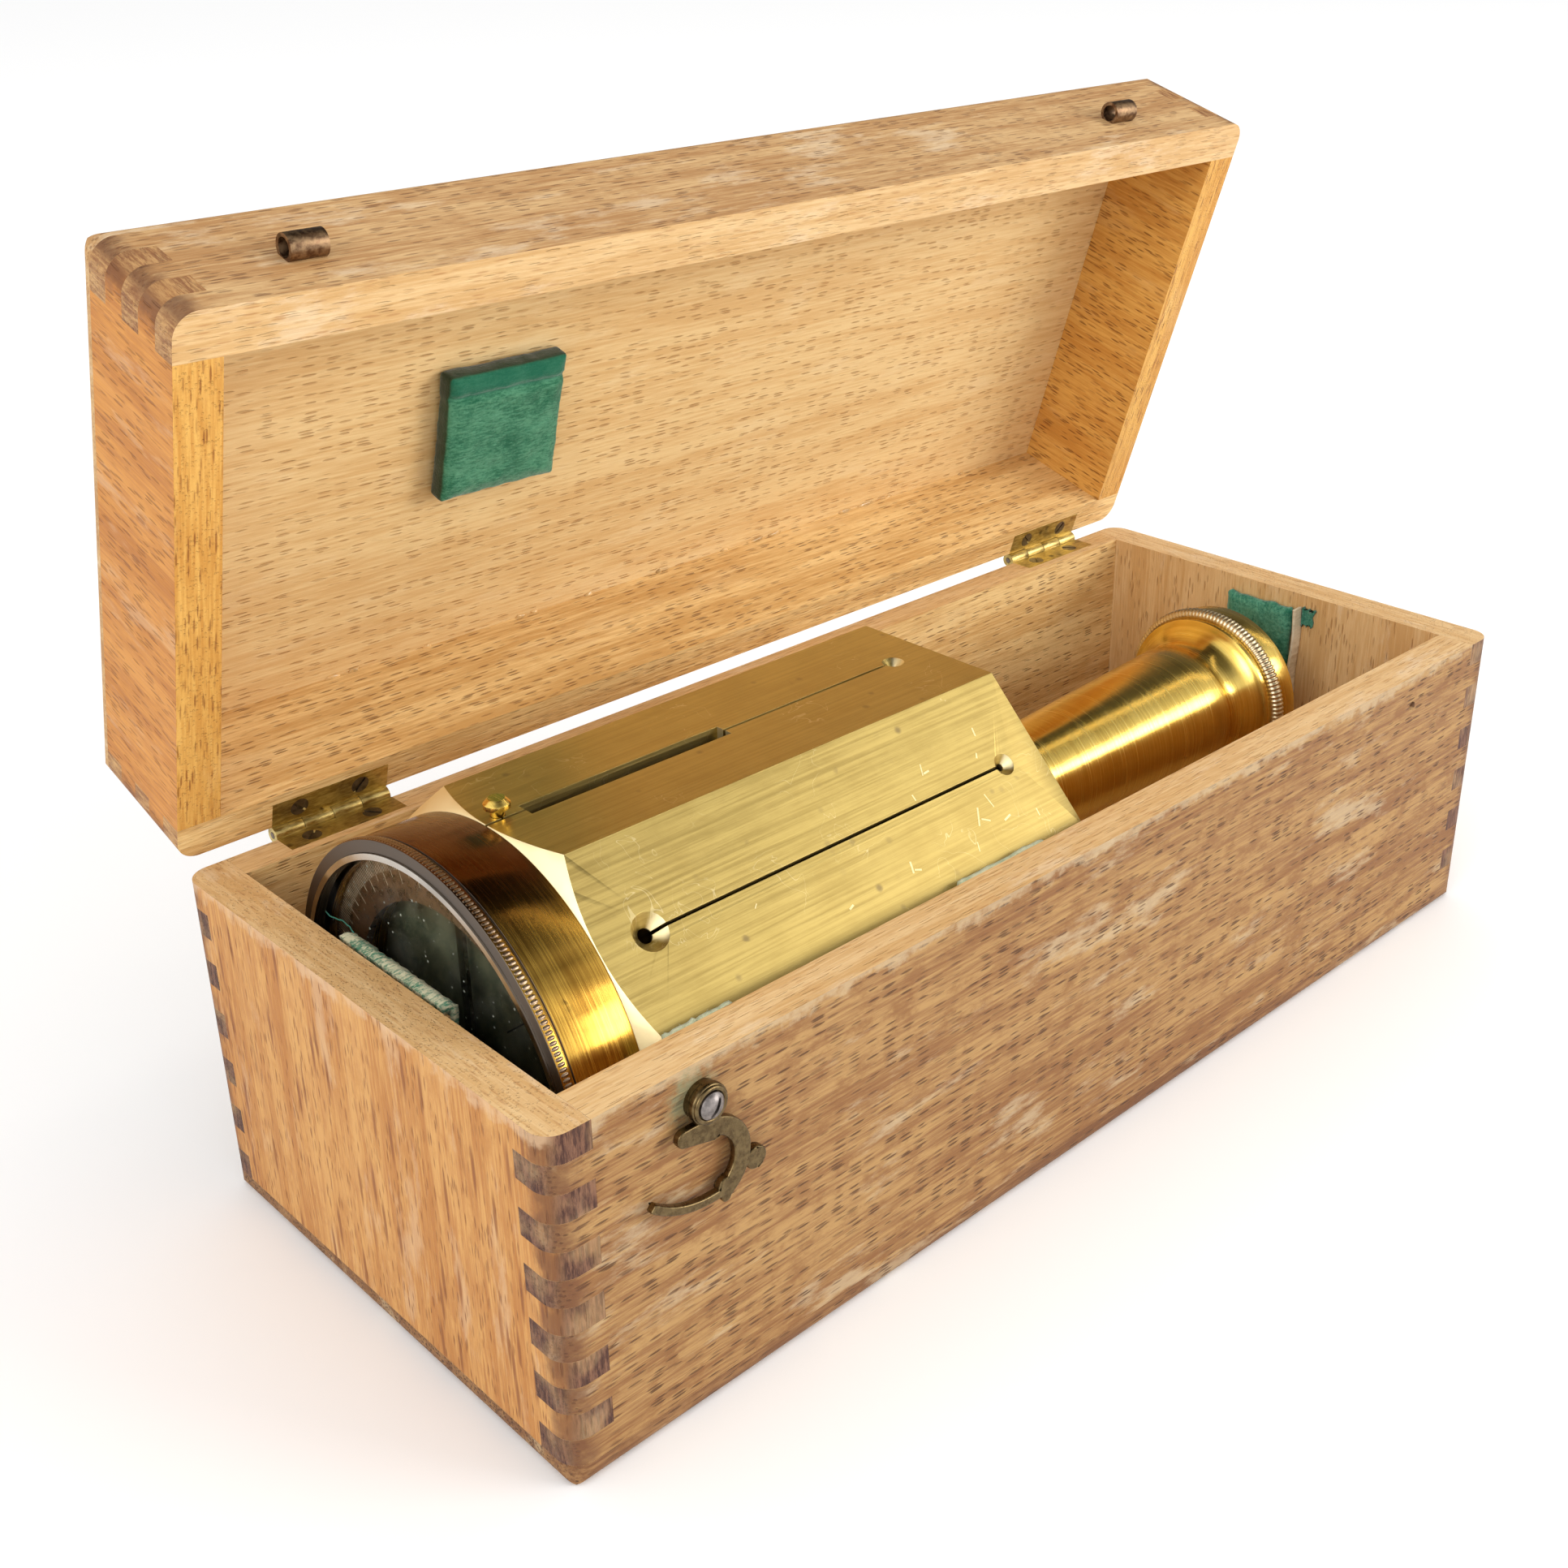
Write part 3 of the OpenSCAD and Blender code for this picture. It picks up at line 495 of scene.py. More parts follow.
def glass():
    g = material("window_glass")
    where = g.place()
    near, pick = g.cells(where, 0.5)
    speck = g.times(g.step(near, 0.13, 0.06), g.step(pick, 0.6, 0.75))
    film = g.times(g.step(g.noise(where, 0.12, 5, 0.7), 0.45, 0.75), 0.045)
    dusty = g.most(speck, film)
    clear = g.add("BsdfGlass", (0.97, 1.0, 0.98, 1), 0.01)
    clear.inputs["IOR"].default_value = 1.12
    dust = g.add("BsdfDiffuse", (0.55, 0.54, 0.48, 1))
    blend = g.add("MixShader", dusty)
    g.tree.links.new(clear.outputs[0], blend.inputs[1])
    g.tree.links.new(dust.outputs[0], blend.inputs[2])
    g.tree.links.new(blend.outputs[0], g.output.inputs[0])
    return g.owner


# ---- Dressing the CAD nodes ----

def paint(finish, *names):
    for name in names:
        data = NODES[name].data
        data.materials.clear()
        data.materials.append(finish)


WELD_GAP = 0.00001
SHARP = math.radians(40)


def soften(width, *names, clamp=True):
    """Wears the sharp edges of CAD nodes round, by width in mm."""
    for name in names:
        weld = NODES[name].modifiers.new("weld", "WELD")
        weld.merge_threshold = WELD_GAP
        bevel = NODES[name].modifiers.new("bevel", "BEVEL")
        bevel.width = width * MM
        bevel.segments = 3
        bevel.limit_method = "ANGLE"
        bevel.angle_limit = SHARP
        bevel.harden_normals = True
        bevel.use_clamp_overlap = clamp


def dress_wood():
    hook = tuple(Vector(JOINTS["hook_swing"]["pos_m"]) / MM + Vector((-1.5, 0, 1.2)))
    paint(wood("case_front_wood", WORN, RIM, (1, -1), seed=1, spot=hook), "case_front_panel")
    paint(wood("case_rear_wood", WORN, LONG, (1, 1), seed=2), "case_rear_panel")
    paint(wood("case_left_wood", AMBER, RIM, (0, -1), seed=3), "case_left_panel")
    paint(wood("case_right_wood", AMBER, RIM, (0, 1), seed=4), "case_right_panel")
    paint(wood("bottom_wood", DEEP, BOARD, (2, -1), seed=5), "case_bottom_board")
    paint(wood("lid_front_wood", TAN, RIM, (1, -1), lid=True, seed=6), "lid_front_panel")
    paint(wood("lid_rear_wood", WORN, LONG, (1, 1), LONG, True, 7), "lid_rear_panel")
    paint(wood("lid_left_wood", EMBER, AMBER, (0, -1), GOLD, True, 8), "lid_left_panel")
    paint(wood("lid_right_wood", EMBER, GOLD, (0, 1), GOLD, True, 9), "lid_right_panel")
    paint(wood("lid_top_wood", TAN, BOARD, (2, 1), lid=True, seed=10), "lid_top_board")
    paint(wood("cradle_wood", RIM, RIM, (1, -1), seed=11), "left_cradle", "right_cradle",
          "left_end_block")
    soften(0.25, *[name for name in NODES if "panel" in name])


def dress_metal():
    # The drum's faces turned to the compass end get a pale painted highlight.
    paint(metal("satin_brass", (0.56, 0.42, 0.14), (0.45, 0.325, 0.10), ALONG_X, (0.33, 0.44),
                spots=0.1, spot_colour=(0.30, 0.22, 0.09), scratches=0.3, anisotropic=0.5,
                front=(0.95, 0.82, 0.48)), "sight_drum", "drum_end_plate")
    paint(metal("polished_brass", (0.86, 0.62, 0.16), (0.72, 0.48, 0.10), AROUND_X, (0.2, 0.28),
                anisotropic=0.5), "staff_socket", "socket_spigot", "arrest_button", "needle_cap")
    # The housing's dark top and dark front face are painted dark reflections.
    paint(metal("bronzed_brass", (0.66, 0.39, 0.07), (0.40, 0.20, 0.03), AROUND_X, (0.2, 0.3),
                spots=0.1, anisotropic=0.5, painted_dark_top=(0.10, 0.032, 0.010),
                front=(0.15, 0.125, 0.105)), "compass_housing")
    aged = dict(light=(0.66, 0.52, 0.20), dark=(0.38, 0.26, 0.08), brushed=(0.5, 2, 2),
                rough=(0.28, 0.5), spots=0.35)
    paint(metal("aged_brass", **aged), "left_hinge_lower_leaf", "right_hinge_lower_leaf")
    paint(metal("aged_brass_lid", lid=True, **aged), "left_hinge_upper_leaf",
          "right_hinge_upper_leaf")
    paint(metal("hook_brass", (0.19, 0.135, 0.062), (0.10, 0.066, 0.030), (1, 1, 1), (0.25, 0.38),
                spots=0.15), "hook", "hook_washer")
    paint(metal("eye_brass", (0.34, 0.22, 0.12), (0.13, 0.07, 0.04), (1, 1, 1), (0.35, 0.55),
                lid=True, spots=0.4), "left_hook_eye", "right_hook_eye")
    paint(metal("silvered_rim", (0.62, 0.59, 0.54), (0.36, 0.33, 0.29), AROUND_X, (0.12, 0.22)),
          "compass_bezel")
    paint(mottled("dark_steel", (0.22, 0.17, 0.13), 0.4, 1.0), "hinge_pins", "lower_hinge_screws",
          "upper_hinge_screws")
    paint(mottled("bright_steel", (0.32, 0.285, 0.27), 0.42, 1.0), "hook_pivot_screw",
          "needle_pivot")
    paint(mottled("bronzed_steel", (0.10, 0.08, 0.05), 0.45, 1.0), "lifter_arm")
    paint(mottled("bronzed_ring", (0.27, 0.14, 0.08), 0.3, 0.7, 0.6, 0.6), "degree_ring")
    paint(mottled("dark_dial", (0.17, 0.155, 0.10), 0.5, 0.2, 0.25, 0.7), "compass_dial")
    paint(mottled("blued_steel", (0.05, 0.07, 0.16), 0.2, 1.0), "compass_needle")
    paint(glass(), "compass_glass")
    soften(0.12, "sight_drum", "arrest_button", "staff_socket", "compass_housing")
    soften(0.28, "hook", clamp=False)
    soften(0.1, "left_hinge_lower_leaf", "right_hinge_lower_leaf", "left_hinge_upper_leaf",
           "right_hinge_upper_leaf", "left_hook_eye", "right_hook_eye")


# ---- Making pieces ----

def piece(name, bm, body, slot, finish, *nodes, smooth=True):
    """Turns bm into a piece that rides on body and stands for the CAD nodes named."""
    mesh = bpy.data.meshes.new(name)
    bmesh.ops.recalc_face_normals(bm, faces=bm.faces)
    bm.to_mesh(mesh)
    bm.free()
    mesh.materials.append(finish)
    mesh.polygons.foreach_set("use_smooth", [smooth] * len(mesh.polygons))
    result = linked(name, mesh)
    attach(result, body)
    if nodes:
        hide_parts(*nodes)
    return result


def skin(bm, a, b):
    """Faces between two closed loops that have as many points."""
    count = len(a)
    for k in range(count):
        bm.faces.new((a[k], a[(k + 1) % count], b[(k + 1) % count], b[k]))


def circle(bm, centre, side, other, count):
    """A loop of count new points about centre, with radius vectors side and other."""
    turns = [2 * math.pi * k / count for k in range(count)]
    return [bm.verts.new(centre + side * math.cos(turn) + other * math.sin(turn)) for turn in turns]


def wobble(bm, amount, scale, seed, keep=None):
    """Moves each point along its normal by smooth noise, amount mm at most, but for those kept."""
    bm.normal_update()
    for v in bm.verts:
        if keep is None or not keep(v.co):
            drift = noise.noise(v.co / MM * scale + Vector((seed, 0, 0)))
            v.co += v.normal * drift * amount * MM


def closed_box(node):
    """Lowest and highest corner of a lid node, in the closed lid's frame."""
    back = lid_matrix().inverted()
    points = [back @ v.co for v in NODES[node].data.vertices]
    return [Vector(end(p[i] for p in points) for i in range(3)) for end in (min, max)]


# ---- Velvet pads ----

# Cloth simulates best on a large object, so the pads are blown up at this many times their size.
SIM_SCALE = 20
SIM_FRAMES = 20
SIM_PRESSURE = 4
VOXEL = 0.42


def puffed_block(low, high, slack, cap):
    """A padded block that fills low to high, remeshed and then blown up by Cloth.

    slack is the room left on every side before it swells, and cap is how far a point may move,
    both in mm.
    """
    block = remeshed_block(high - low, slack)
    start = [v.co.copy() for v in block.data.vertices]
    simulate(block)
    bm = bmesh.new()
    bm.from_mesh(applied(block))
    bpy.data.objects.remove(block)
    limit = cap * MM * SIM_SCALE
    middle = (low + high) / 2
    for v, old in zip(bm.verts, start):
        move = v.co - old
        if move.length > limit:
            v.co = old + move.normalized() * limit
        v.co = v.co / SIM_SCALE + middle
        for i in range(3):
            v.co[i] = min(max(v.co[i], low[i]), high[i])
    return bm


def remeshed_block(size, slack):
    """A rounded block, slack mm inside size on every side, in even voxels and scaled up."""
    bm = bmesh.new()
    bmesh.ops.create_cube(bm, size=1)
    bmesh.ops.scale(bm, vec=(size - Vector((2, 2, 2)) * slack * MM) * SIM_SCALE, verts=bm.verts)
    bmesh.ops.bevel(bm, geom=bm.edges[:], offset=0.5 * MM * SIM_SCALE, segments=2, affect="EDGES")
    mesh = bpy.data.meshes.new("sim")
    bm.to_mesh(mesh)
    bm.free()
    block = linked("sim", mesh)
    remesh = block.modifiers.new("remesh", "REMESH")
    remesh.mode = "VOXEL"
    remesh.voxel_size = VOXEL * MM * SIM_SCALE
    rest = applied(block)
    block.modifiers.clear()
    block.data = rest
    return block


def applied(source):
    """The object's mesh with its modifiers applied."""
    bpy.context.view_layer.update()
    evaluated = source.evaluated_get(bpy.context.evaluated_depsgraph_get())
    return bpy.data.meshes.new_from_object(evaluated)


def simulate(block):
    cloth_mod = block.modifiers.new("cloth", "CLOTH")
    cloth_mod.settings.use_pressure = True
    cloth_mod.settings.uniform_pressure_force = SIM_PRESSURE
    cloth_mod.settings.effector_weights.gravity = 0
    for at in range(1, SIM_FRAMES + 1):
        bpy.context.scene.frame_set(at)


def rumple(bm, back, *layers):
    """Wobbles a pad by each layer's amount, scale and seed, but for its glued face at z = back."""
    for amount, scale, seed in layers:
        wobble(bm, amount, scale, seed, keep=lambda co: co.z > back - 0.1 * MM)


CREASE_AT = 4.6
CREASE_WIDE = 0.55
CREASE_DEEP = 0.55


def make_lid_pad():
    """Pad glued to the lid's board, with a crease pressed into it along one edge."""
    low, high = closed_box("lid_pad")
    bm = puffed_block(low, high, 0.45, 0.5)
    crease = low.y + CREASE_AT * MM
    for v in bm.verts:
        front = 1 - (v.co.z - low.z) / (high.z - low.z)
        groove = math.exp(-((v.co.y - crease) / (CREASE_WIDE * MM)) ** 2)
        v.co.z += CREASE_DEEP * MM * groove * max(front, 0)
    rumple(bm, high.z, (0.16, 0.45, 3), (0.07, 2.2, 9))
    bm.transform(lid_matrix())
    finish = cloth("lid_velvet", (0.10, 0.31, 0.18), (0.015, 0.12, 0.06), 0.35, lid=True,
                   side=(0.035, 0.030, 0.012), bands=(crease / MM, 0.5, (0.010, 0.13, 0.075)))
    pad = piece("velvet_lid_pad", bm, "lid", "green_velvet", finish, "lid_pad")


def make_end_pad():
    """Pad glued to the right end wall, made lying on its back, with a ragged top edge."""
    low, high = (Vector(corner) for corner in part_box("right_end_pad"))
    size = high - low
    bm = puffed_block(Vector((0, 0, 0)), Vector((size.y, size.z, size.x)), 0.35, 0.4)
    for v in bm.verts:
        top = v.co.y / size.z
        ragged = noise.noise(Vector((v.co.x / MM * 0.28, 2.0, 0))) * 0.7 - 0.4
        if top > 0.6:
            v.co.y += ragged * MM * (top - 0.6) / 0.4
    rumple(bm, size.x, (0.22, 0.4, 5), (0.08, 2.0, 8))
    stand = Matrix(((0, 0, 1), (1, 0, 0), (0, 1, 0)))
    bm.transform(Matrix.Translation(low) @ stand.to_4x4())
    finish = cloth("end_velvet", (0.12, 0.36, 0.24), (0.012, 0.13, 0.08), 0.5, nap=0.0002)
    pad = piece("velvet_end_pad", bm, "case", "green_velvet", finish, "right_end_pad")


# ---- Sheets of felt and leather ----

def strip(path, across, rows, thick, ragged, seed):
    """A band of cloth centred on path, its run in space; across is the vector over its width.

    thick is its thickness and ragged how far its two ends are torn, both in mm.
    """
    bm = bmesh.new()
    sides = ([], [])
    last = len(path) - 1
    for i, point in enumerate(path):
        run = path[min(i + 1, last)] - path[max(i - 1, 0)]
        normal = run.cross(across).normalized()
        tear = run.normalized() * ragged * MM * {0: -1, last: 1}.get(i, 0)
        for side, row in zip((1, -1), sides):
            row.append([bm.verts.new(point + across * (j / rows) + normal * side * thick / 2 * MM
                                     + tear * (noise.noise(Vector((j * 0.7, seed, 0))) - 0.6))
                        for j in range(rows + 1)])
    top, under = sides
    for i in range(last):
        for j in range(rows):
            bm.faces.new((top[i][j], top[i][j + 1], top[i + 1][j + 1], top[i + 1][j]))
            bm.faces.new((under[i][j], under[i + 1][j], under[i + 1][j + 1], under[i][j + 1]))
        for j in (0, rows):
            bm.faces.new((top[i][j], top[i + 1][j], under[i + 1][j], under[i][j]))
    for i in (0, last):
        for j in range(rows):
            bm.faces.new((top[i][j], top[i][j + 1], under[i][j + 1], under[i][j]))
    bmesh.ops.recalc_face_normals(bm, faces=bm.faces)
    return bm


def random_vector(rng, reach):
    """A vector whose parts lie between -reach and reach."""
    return Vector([rng.uniform(-reach, reach) for _ in range(3)])


def resampled(corners, step):
    """Points every step along a broken line, with its corners kept."""
    points = [corners[0]]
    for a, b in zip(corners, corners[1:]):
        count = max(1, round((b - a).length / step))
        points += [a.lerp(b, (i + 1) / count) for i in range(count)]
    return points


def fibres(bm, points, seed, length, thick):
    """Loose threads that stand from the points given, each a thin bent spike."""
    rng = random.Random(seed)
    for root in points:
        way = random_vector(rng, 1).normalized()
        side = way.orthogonal().normalized() * thick * MM
        other = way.cross(side)
        bend = random_vector(rng, 0.4)
        reach = rng.uniform(0.4, 1.0) * length * MM
        rings = []
        for share in (0, 1 / 3, 2 / 3):
            centre = root + (way + bend * share) * reach * share
            rings.append(circle(bm, centre, side * (1 - share), other * (1 - share), 3))
        tip = bm.verts.new(root + (way + bend) * reach)
        for a, b in zip(rings, rings[1:]):
            skin(bm, a, b)
        for j in range(3):
            bm.faces.new((rings[-1][j], rings[-1][(j + 1) % 3], tip))
        bm.faces.new(rings[0][::-1])


FELT_T = 1.1
FELT_GAP = 0.1


def drum_apothem():
    low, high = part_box("sight_drum")
    return (high.z - low.z) / 2


def make_cradle_felts():
    """Felt strips that follow the drum's lower faces across each cradle."""
    finish = cloth("pale_felt", (0.76, 0.76, 0.52), (0.44, 0.52, 0.32), 0.4, sheen=0.2, nap=0.0003)
    half = drum_apothem() + (FELT_GAP + FELT_T / 2) * MM
    corner = half * math.tan(math.radians(22.5))
    for side in ("left", "right"):
        low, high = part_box(side + "_cradle_felt")
        top = high.z - AXIS.z - 0.2 * MM
        outline = [(-half, top), (-half, -corner), (-corner, -half), (corner, -half),
                   (half, -corner), (half, top)]
        corners = [Vector((low.x + 0.05 * MM, AXIS.y + y, AXIS.z + z)) for y, z in outline]
        path = resampled(corners, 0.8 * MM)
        across = Vector((high.x - low.x - 0.1 * MM, 0, 0))
        bm = strip(path, across, 18, FELT_T - 0.15, 0.5, len(side))
        wobble(bm, 0.12, 1.1, 4)
        rim = [v.co.copy() for v in bm.verts if v.co.z > high.z - 0.9 * MM]
        fibres(bm, random.Random(5).sample(rim, min(40, len(rim))), 6, 0.5, 0.04)
        felt = piece(side + "_cradle_lining", bm, "case", "pale_felt", finish,
                     side + "_cradle_felt")


WRAP_T = 1.25


def make_end_felt():
    """Frayed felt that runs up the left end block's front and folds over its top."""
    low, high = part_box("left_end_felt")
    block_low, block_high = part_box("left_end_block")
    thick = WRAP_T * MM
    top = CASE_HIGH.z - 0.35 * MM - thick / 2
    y = low.y + 0.3 * MM
    front = block_high.x + thick / 2 + 0.05 * MM
    back = block_low.x + thick / 2 + 0.15 * MM
    turns = ((front, low.z), (front, top - 3 * MM), (front + 0.28 * MM, top - 1.3 * MM),
             (front + 0.2 * MM, top - 0.4 * MM), (front - 0.5 * MM, top), (back, top - 0.15 * MM))
    path = resampled([Vector((x, y, z)) for x, z in turns], 0.4 * MM)
    across = Vector((0, high.y - low.y - 0.6 * MM, 0))
    bm = strip(path, across, 60, WRAP_T, 0.4, 2)
    wobble(bm, 0.16, 0.9, 7)
    wobble(bm, 0.12, 2.6, 11)
    rim = [v.co.copy() for v in bm.verts if v.co.y < y + 0.4 * MM or v.co.z > top + 0.3 * MM]
    fibres(bm, random.Random(8).sample(rim, min(220, len(rim))), 9, 0.8, 0.03)
    finish = cloth("frayed_felt", (0.78, 0.75, 0.50), (0.10, 0.29, 0.17), 0.45, sheen=0.2,
                   nap=0.0003, blend=0.05)
    felt = piece("left_end_wrap", bm, "case", "pale_felt", finish, "left_end_felt")
    make_loose_thread(Vector((front, high.y - 1 * MM, top + thick / 2)))


def make_loose_thread(root):
    """Green thread that has come out of the felt and hangs towards the rear."""
    rng = random.Random(4)
    bends = [(0.2, 0, 0), (0.7, 3.0, 0.1), (0.4, 6.5, -0.4), (1.2, 9.5, -1.2)]
    run = resampled([root + Vector(bend) * MM for bend in bends], 0.8 * MM)
    bm = bmesh.new()
    tube(bm, [point + random_vector(rng, 0.1) * MM for point in run], 0.09 * MM)
    piece("loose_thread", bm, "case", "pale_felt",
          cloth("thread", (0.08, 0.30, 0.22), (0.03, 0.16, 0.12), 0.2, sheen=0.0))


def tube(bm, points, radius, sides=6):
    """Closed round tube along points."""
    rings = []
    side = None
    for i, point in enumerate(points):
        way = (points[min(i + 1, len(points) - 1)] - points[max(i - 1, 0)]).normalized()
        side = way.orthogonal() if side is None else side - way * side.dot(way)
        side.normalize()
        rings.append(circle(bm, point, side * radius, way.cross(side) * radius, sides))
    for a, b in zip(rings, rings[1:]):
        skin(bm, a, b)
    bm.faces.new(rings[0][::-1])
    bm.faces.new(rings[-1])


def make_edging():
    """Pale leather strip that stands on edge beside the end pad, bowed in and out."""
    low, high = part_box("right_end_edging")
    width = high.x - low.x - 0.1 * MM
    middle = (low.y + high.y) / 2
    path = []
    for i in range(41):
        share = i / 40
        bow = 0.2 * MM * math.sin(share * math.pi * 2.2)
        path.append(Vector((low.x + 0.05 * MM, middle + bow, low.z + share * (high.z - low.z))))
    bm = strip(path, Vector((width, 0, 0)), 6, 0.35, 0.3, 6)
    finish = cloth("pale_leather", (0.82, 0.74, 0.56), (0.58, 0.48, 0.32), 0.8, sheen=0.0,
                   nap=0.0001)
    piece("right_end_strip", bm, "case", "pale_leather", finish, "right_end_edging")


def make_remnant():
    """Scrap of velvet left on the wall beyond the leather strip."""
    low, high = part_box("right_end_edging")
    _, pad_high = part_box("right_end_pad")
    width = 2.6 * MM
    path = [Vector((high.x - 0.35 * MM, low.y + 0.1 * MM, pad_high.z - z * MM))
            for z in (4.8, 4.0, 3.2, 2.4, 1.6, 0.8, 0.2)]
    bm = strip(path, Vector((0, -width, 0)), 10, 0.5, 1.1, 13)
    for v in bm.verts:
        v.co.y += noise.noise(Vector((v.co.z / MM * 0.6, 7, 0))) * (low.y - v.co.y) * 0.5
    rim = [v.co.copy() for v in bm.verts if v.co.y < low.y - width]
    fibres(bm, rim[::2], 5, 1.4, 0.03)
    piece("velvet_remnant", bm, "case", "green_velvet",
          cloth("torn_velvet", (0.10, 0.32, 0.22), (0.02, 0.14, 0.09), 0.4, nap=0.0002))


# ---- Turned and cut details ----

# Steps over a toothed ring's crest, and points round it for each tooth
RING_PROFILE = 8
TOOTH_POINTS = 4


def toothed_ring(name, ends, radii, teeth, edge, body, slot, finish, *nodes):
    """Ring about the instrument's axis with teeth cut round its crest.

    ends are its two X places, radii its bore, the teeth's foot and their crest, and edge is how
    far the crest falls to either side, in mm. A row without a drop is an end of the bore.
    """
    start, end = ends
    inner, root, crest = radii
    steps = teeth * TOOTH_POINTS
    rows = [(0, None)]
    for i in range(RING_PROFILE + 1):
        share = 2 * i / RING_PROFILE - 1
        rows.append((i / RING_PROFILE, edge * MM * (1 - math.sqrt(1 - share * share * 0.98))))
    rows.append((1, None))
    bm = bmesh.new()
    loops = []
    for share, drop in rows:
        loop = []
        for k in range(steps):
            turn = 2 * math.pi * k / steps
            wave = (0.5 + 0.5 * math.cos(turn * teeth)) ** 0.7
            radius = inner if drop is None else root + (crest - root) * wave - drop
            loop.append(bm.verts.new((start + (end - start) * share,
                                      AXIS.y + radius * math.cos(turn),
                                      AXIS.z + radius * math.sin(turn))))
        loops.append(loop)
    for a, b in zip(loops, loops[1:] + loops[:1]):
        skin(bm, a, b)
    piece(name, bm, body, slot, finish, *nodes)


def make_knurling():
    """Knurled ring on the socket's mouth, and fine milling round the compass's rim."""
    low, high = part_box("knurled_socket_ring")
    crest = (high.z - low.z) / 2
    dull = metal("knurled_brass", (0.80, 0.68, 0.46), (0.50, 0.39, 0.22), AROUND_X, (0.3, 0.42))
    toothed_ring("socket_knurl", (low.x, high.x), (crest - 1.6 * MM, crest - 0.34 * MM, crest),
                 130, 1.1, "socket", "knurled_brass", dull, "knurled_socket_ring")
    low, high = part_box("compass_housing")
    crest = (high.z - low.z) / 2
    pink = metal("rim_brass", (0.40, 0.29, 0.20), (0.20, 0.13, 0.08), AROUND_X, (0.25, 0.4))
    toothed_ring("compass_rim_milling", (low.x + 0.15 * MM, low.x + 1.45 * MM),
                 (crest - 0.4 * MM, crest - 0.04 * MM, crest + 0.14 * MM), 300, 0.2,
                 "instrument", "knurled_brass", pink)


def bar(bm, centre, out, along_by, across_by, depth):
    """A small closed bar that stands out from centre by depth.

    out is its face's normal, and along_by and across_by are its half sizes as vectors.
    """
    corners = [centre + along_by * a + across_by * b + out * c
               for c in (0, depth) for a, b in ((-1, -1), (1, -1), (1, 1), (-1, 1))]
    v = [bm.verts.new(corner) for corner in corners]
    for quad in ((3, 2, 1, 0), (4, 5, 6, 7), (0, 1, 5, 4), (1, 2, 6, 5), (2, 3, 7, 6),
                 (3, 0, 4, 7)):
        bm.faces.new([v[i] for i in quad])


# Every how many degrees a line has that length in mm
DEGREE_LINES = ((10, 4.2), (5, 3.2), (1, 2.2))


def make_degree_lines():
    """Engraved lines filled with pale wax: one each degree, longer at fives and tens."""
    low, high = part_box("degree_ring")
    outer = (high.z - low.z) / 2
    bm = bmesh.new()
    out = Vector((-1, 0, 0))
    for degree in range(360):
        turn = math.radians(degree)
        radial = Vector((0, math.cos(turn), math.sin(turn)))
        length = next(length for every, length in DEGREE_LINES if degree % every == 0)
        centre = Vector((low.x, AXIS.y, AXIS.z)) + radial * (outer - (0.3 + length / 2) * MM)
        bar(bm, centre, out, radial * length / 2 * MM, radial.cross(out) * 0.045 * MM, 0.03 * MM)
    piece("degree_lines", bm, "instrument", "bronzed_ring",
          mottled("degree_wax", (0.70, 0.55, 0.42), 0.5, 0.2), smooth=False)


# Scores on the drum's front diagonal face: place along the case and up the face, length, turn
SCORES = ((-22, 4.5, 1.8, 70), (-21.4, 3.9, 1.2, 5), (-17, -5.5, 3.0, 60), (-16, -6.4, 1.6, 150),
          (-13.5, -4.0, 2.4, 100), (-12, -7.5, 1.6, 15), (-33, -7.8, 1.8, 75),
          (-32.2, -8.5, 1.2, 160), (-9, 6.5, 1.4, 80), (-6, -8.8, 1.2, 85), (-20, -9.5, 1.5, 70),
          (-26, 1.2, 1.0, 95), (-11, 3.0, 0.9, 60), (-60, -3, 0.8, 40), (-46, -9, 1.0, 20))


def make_wear_marks():
    """Pale dents and scores, most of them near the drum's socket end."""
    apothem = drum_apothem()
    out = Vector((0, -1, 1)).normalized()
    up = Vector((0, 1, 1)).normalized()
    ahead = Vector((1, 0, 0))
    rng = random.Random(21)
    bm = bmesh.new()
    for x, rise, length, turn in SCORES:
        angle = math.radians(turn)
        along_by = (ahead * math.cos(angle) + up * math.sin(angle)) * length / 2 * MM
        across_by = along_by.normalized().cross(out) * rng.uniform(0.08, 0.18) * MM
        centre = Vector((x * MM, AXIS.y, AXIS.z)) + out * apothem + up * rise * MM
        bar(bm, centre, out, along_by, across_by, 0.02 * MM)
    piece("drum_wear_marks", bm, "instrument", "satin_brass",
          metal("bright_scores", (0.95, 0.84, 0.50), (0.86, 0.70, 0.36), ALONG_X, (0.45, 0.6)),
          smooth=False)


INDEX_TURN = math.radians(141)
INDEX_RADIUS = 25.3
INDEX_LENGTH = 10


def make_index_line():
    """Black index line on the inside of the glass."""
    _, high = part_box("compass_glass")
    radial = Vector((0, math.cos(INDEX_TURN), math.sin(INDEX_TURN)))
    bm = bmesh.new()
    out = Vector((1, 0, 0))
    centre = Vector((high.x, AXIS.y, AXIS.z)) + radial * INDEX_RADIUS * MM
    bar(bm, centre, out, radial * INDEX_LENGTH / 2 * MM, radial.cross(out) * 0.11 * MM, 0.06 * MM)
    piece("index_line", bm, "instrument", "dark_dial",
          mottled("index_black", (0.012, 0.011, 0.01), 0.5), smooth=False)


BOSS_RADIUS = 2.32
BOSS_HALF_WIDTH = 0.38
BOSS_HEIGHT = 0.34


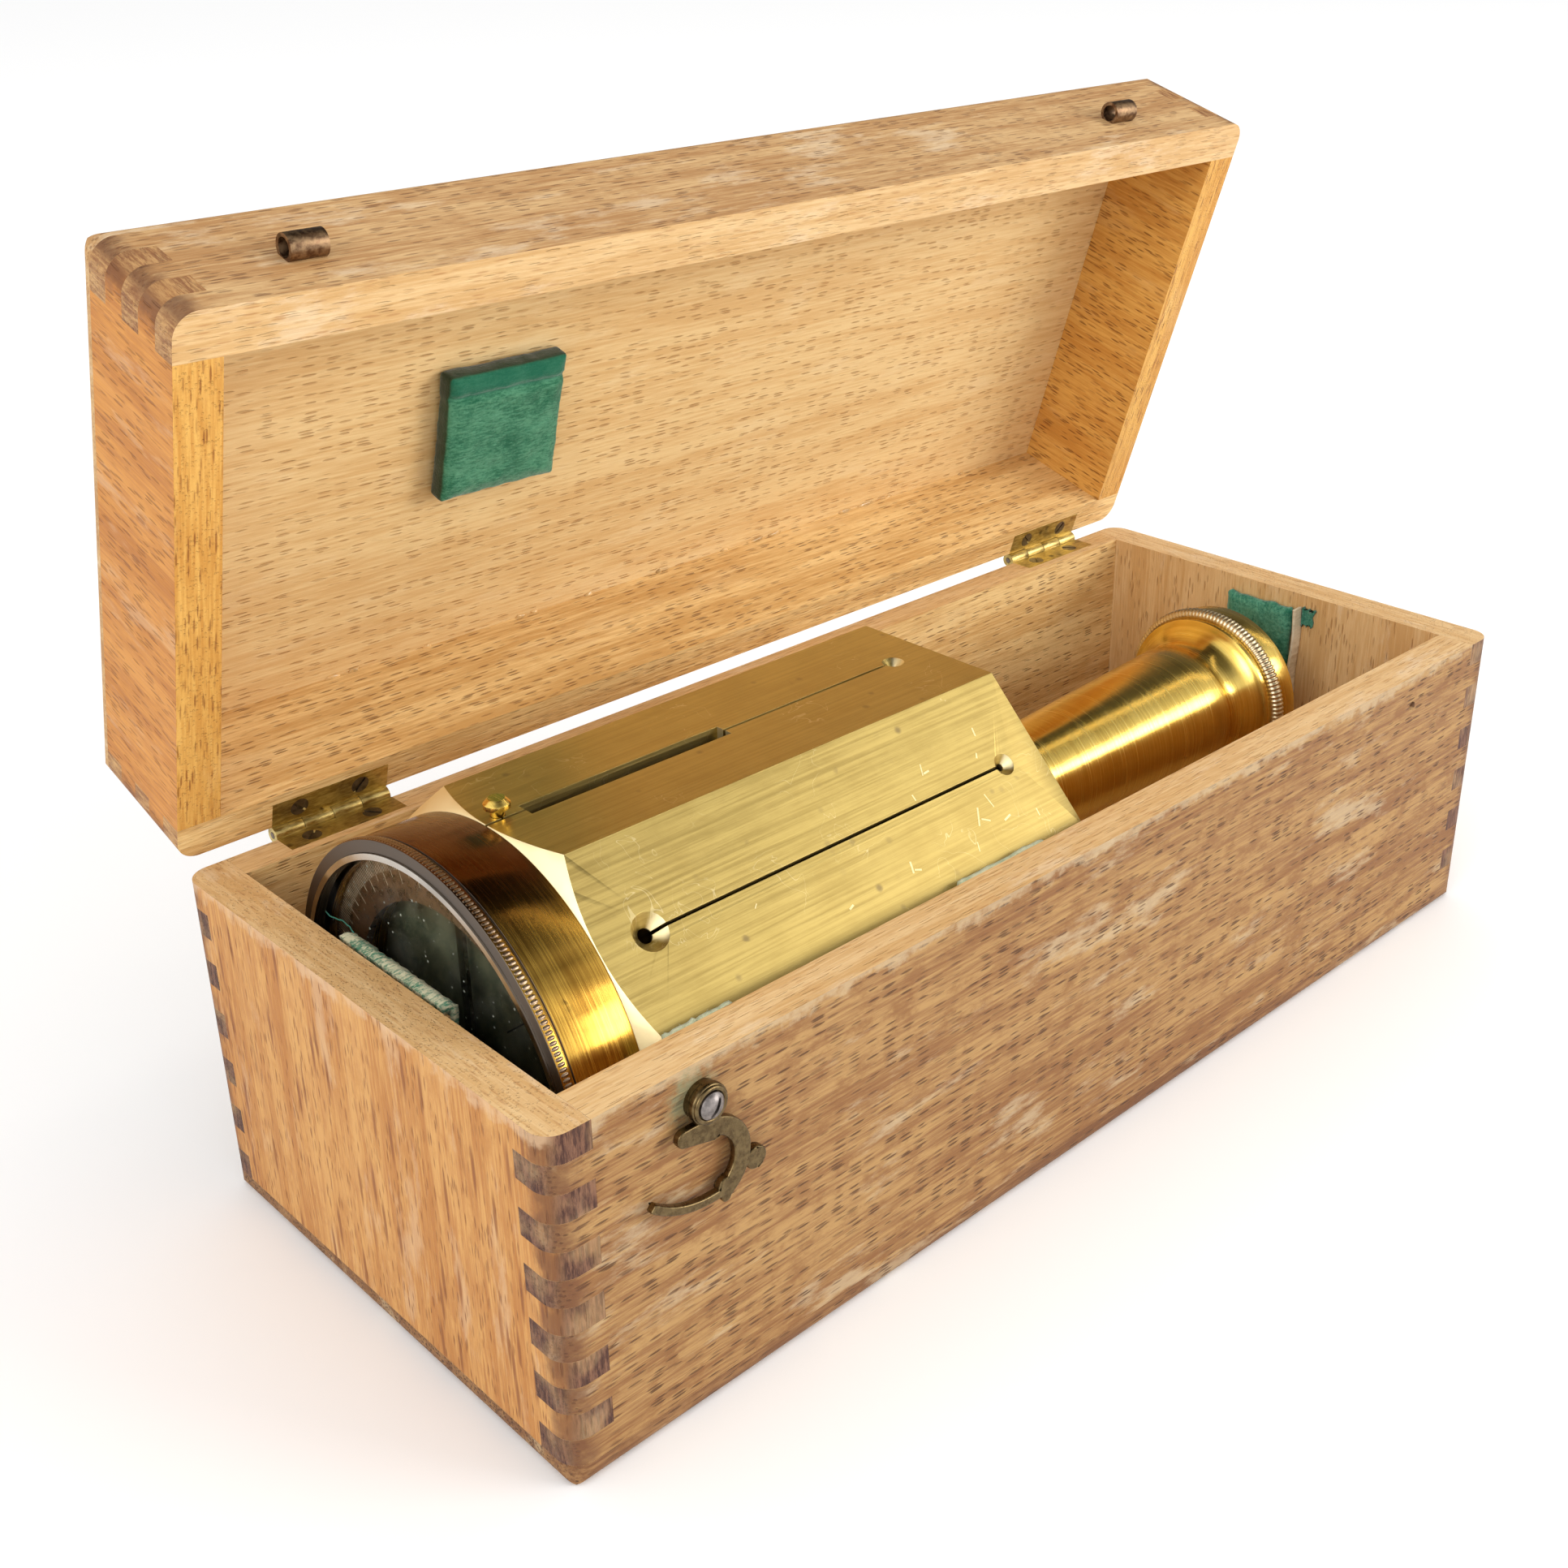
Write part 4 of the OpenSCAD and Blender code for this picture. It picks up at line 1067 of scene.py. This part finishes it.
def make_hook_boss():
    """Raised ring round the hook's screw."""
    low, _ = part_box("hook")
    pivot = Vector(JOINTS["hook_swing"]["pos_m"])
    bm = bmesh.new()
    steps = 48
    loops = []
    for k in range(steps):
        turn = 2 * math.pi * k / steps
        radial = Vector((math.cos(turn), 0, math.sin(turn)))
        centre = Vector((pivot.x, low.y, pivot.z)) + radial * BOSS_RADIUS * MM
        loops.append(circle(bm, centre, radial * BOSS_HALF_WIDTH * MM,
                            Vector((0, -BOSS_HEIGHT * MM, 0)), 10))
    for a, b in zip(loops, loops[1:] + loops[:1]):
        skin(bm, a, b)
    piece("hook_boss", bm, "latch_hook", "hook_brass", NODES["hook"].data.materials[0])


# Place along the lid and size of each bead of glue
GLUE_BEADS = ((-70, 1.5), (-66, 1.0), (-52, 0.9), (-33, 1.3), (-30, 1.0), (-18, 1.2), (-2, 0.8),
              (14, 1.0), (22, 2.2), (27, 1.6), (46, 1.9), (52, 2.4), (58, 1.4), (80, 0.9))


def make_glue():
    """Beads of old glue squeezed out where the lid's board meets its rear wall."""
    board_low, _ = closed_box("lid_top_board")
    wall_low, _ = closed_box("lid_rear_panel")
    rng = random.Random(12)
    bm = bmesh.new()
    for x, size in GLUE_BEADS:
        fresh = bmesh.ops.create_icosphere(bm, subdivisions=3, radius=0.45 * MM)["verts"]
        stretch = Matrix.Diagonal((size * rng.uniform(1.5, 2.6), 1.3, 1.0))
        root = Vector((x * MM, wall_low.y, board_low.z))
        for v in fresh:
            lump = 1 + 0.35 * noise.noise(v.co / MM * 2.2 + Vector((x, 0, 0)))
            v.co = root + stretch @ v.co * lump
    bm.transform(lid_matrix())
    amber = mottled("old_glue", (0.80, 0.50, 0.20), 0.15, 0.0, 0.3)
    piece("glue_beads", bm, "lid", "beech_board", amber)


make_camera()
make_world()
make_lights()
make_floor()
dress_wood()
dress_metal()
make_lid_pad()
make_end_pad()
make_cradle_felts()
make_end_felt()
make_edging()
make_remnant()
make_knurling()
make_degree_lines()
make_wear_marks()
make_index_line()
make_hook_boss()
make_glue()
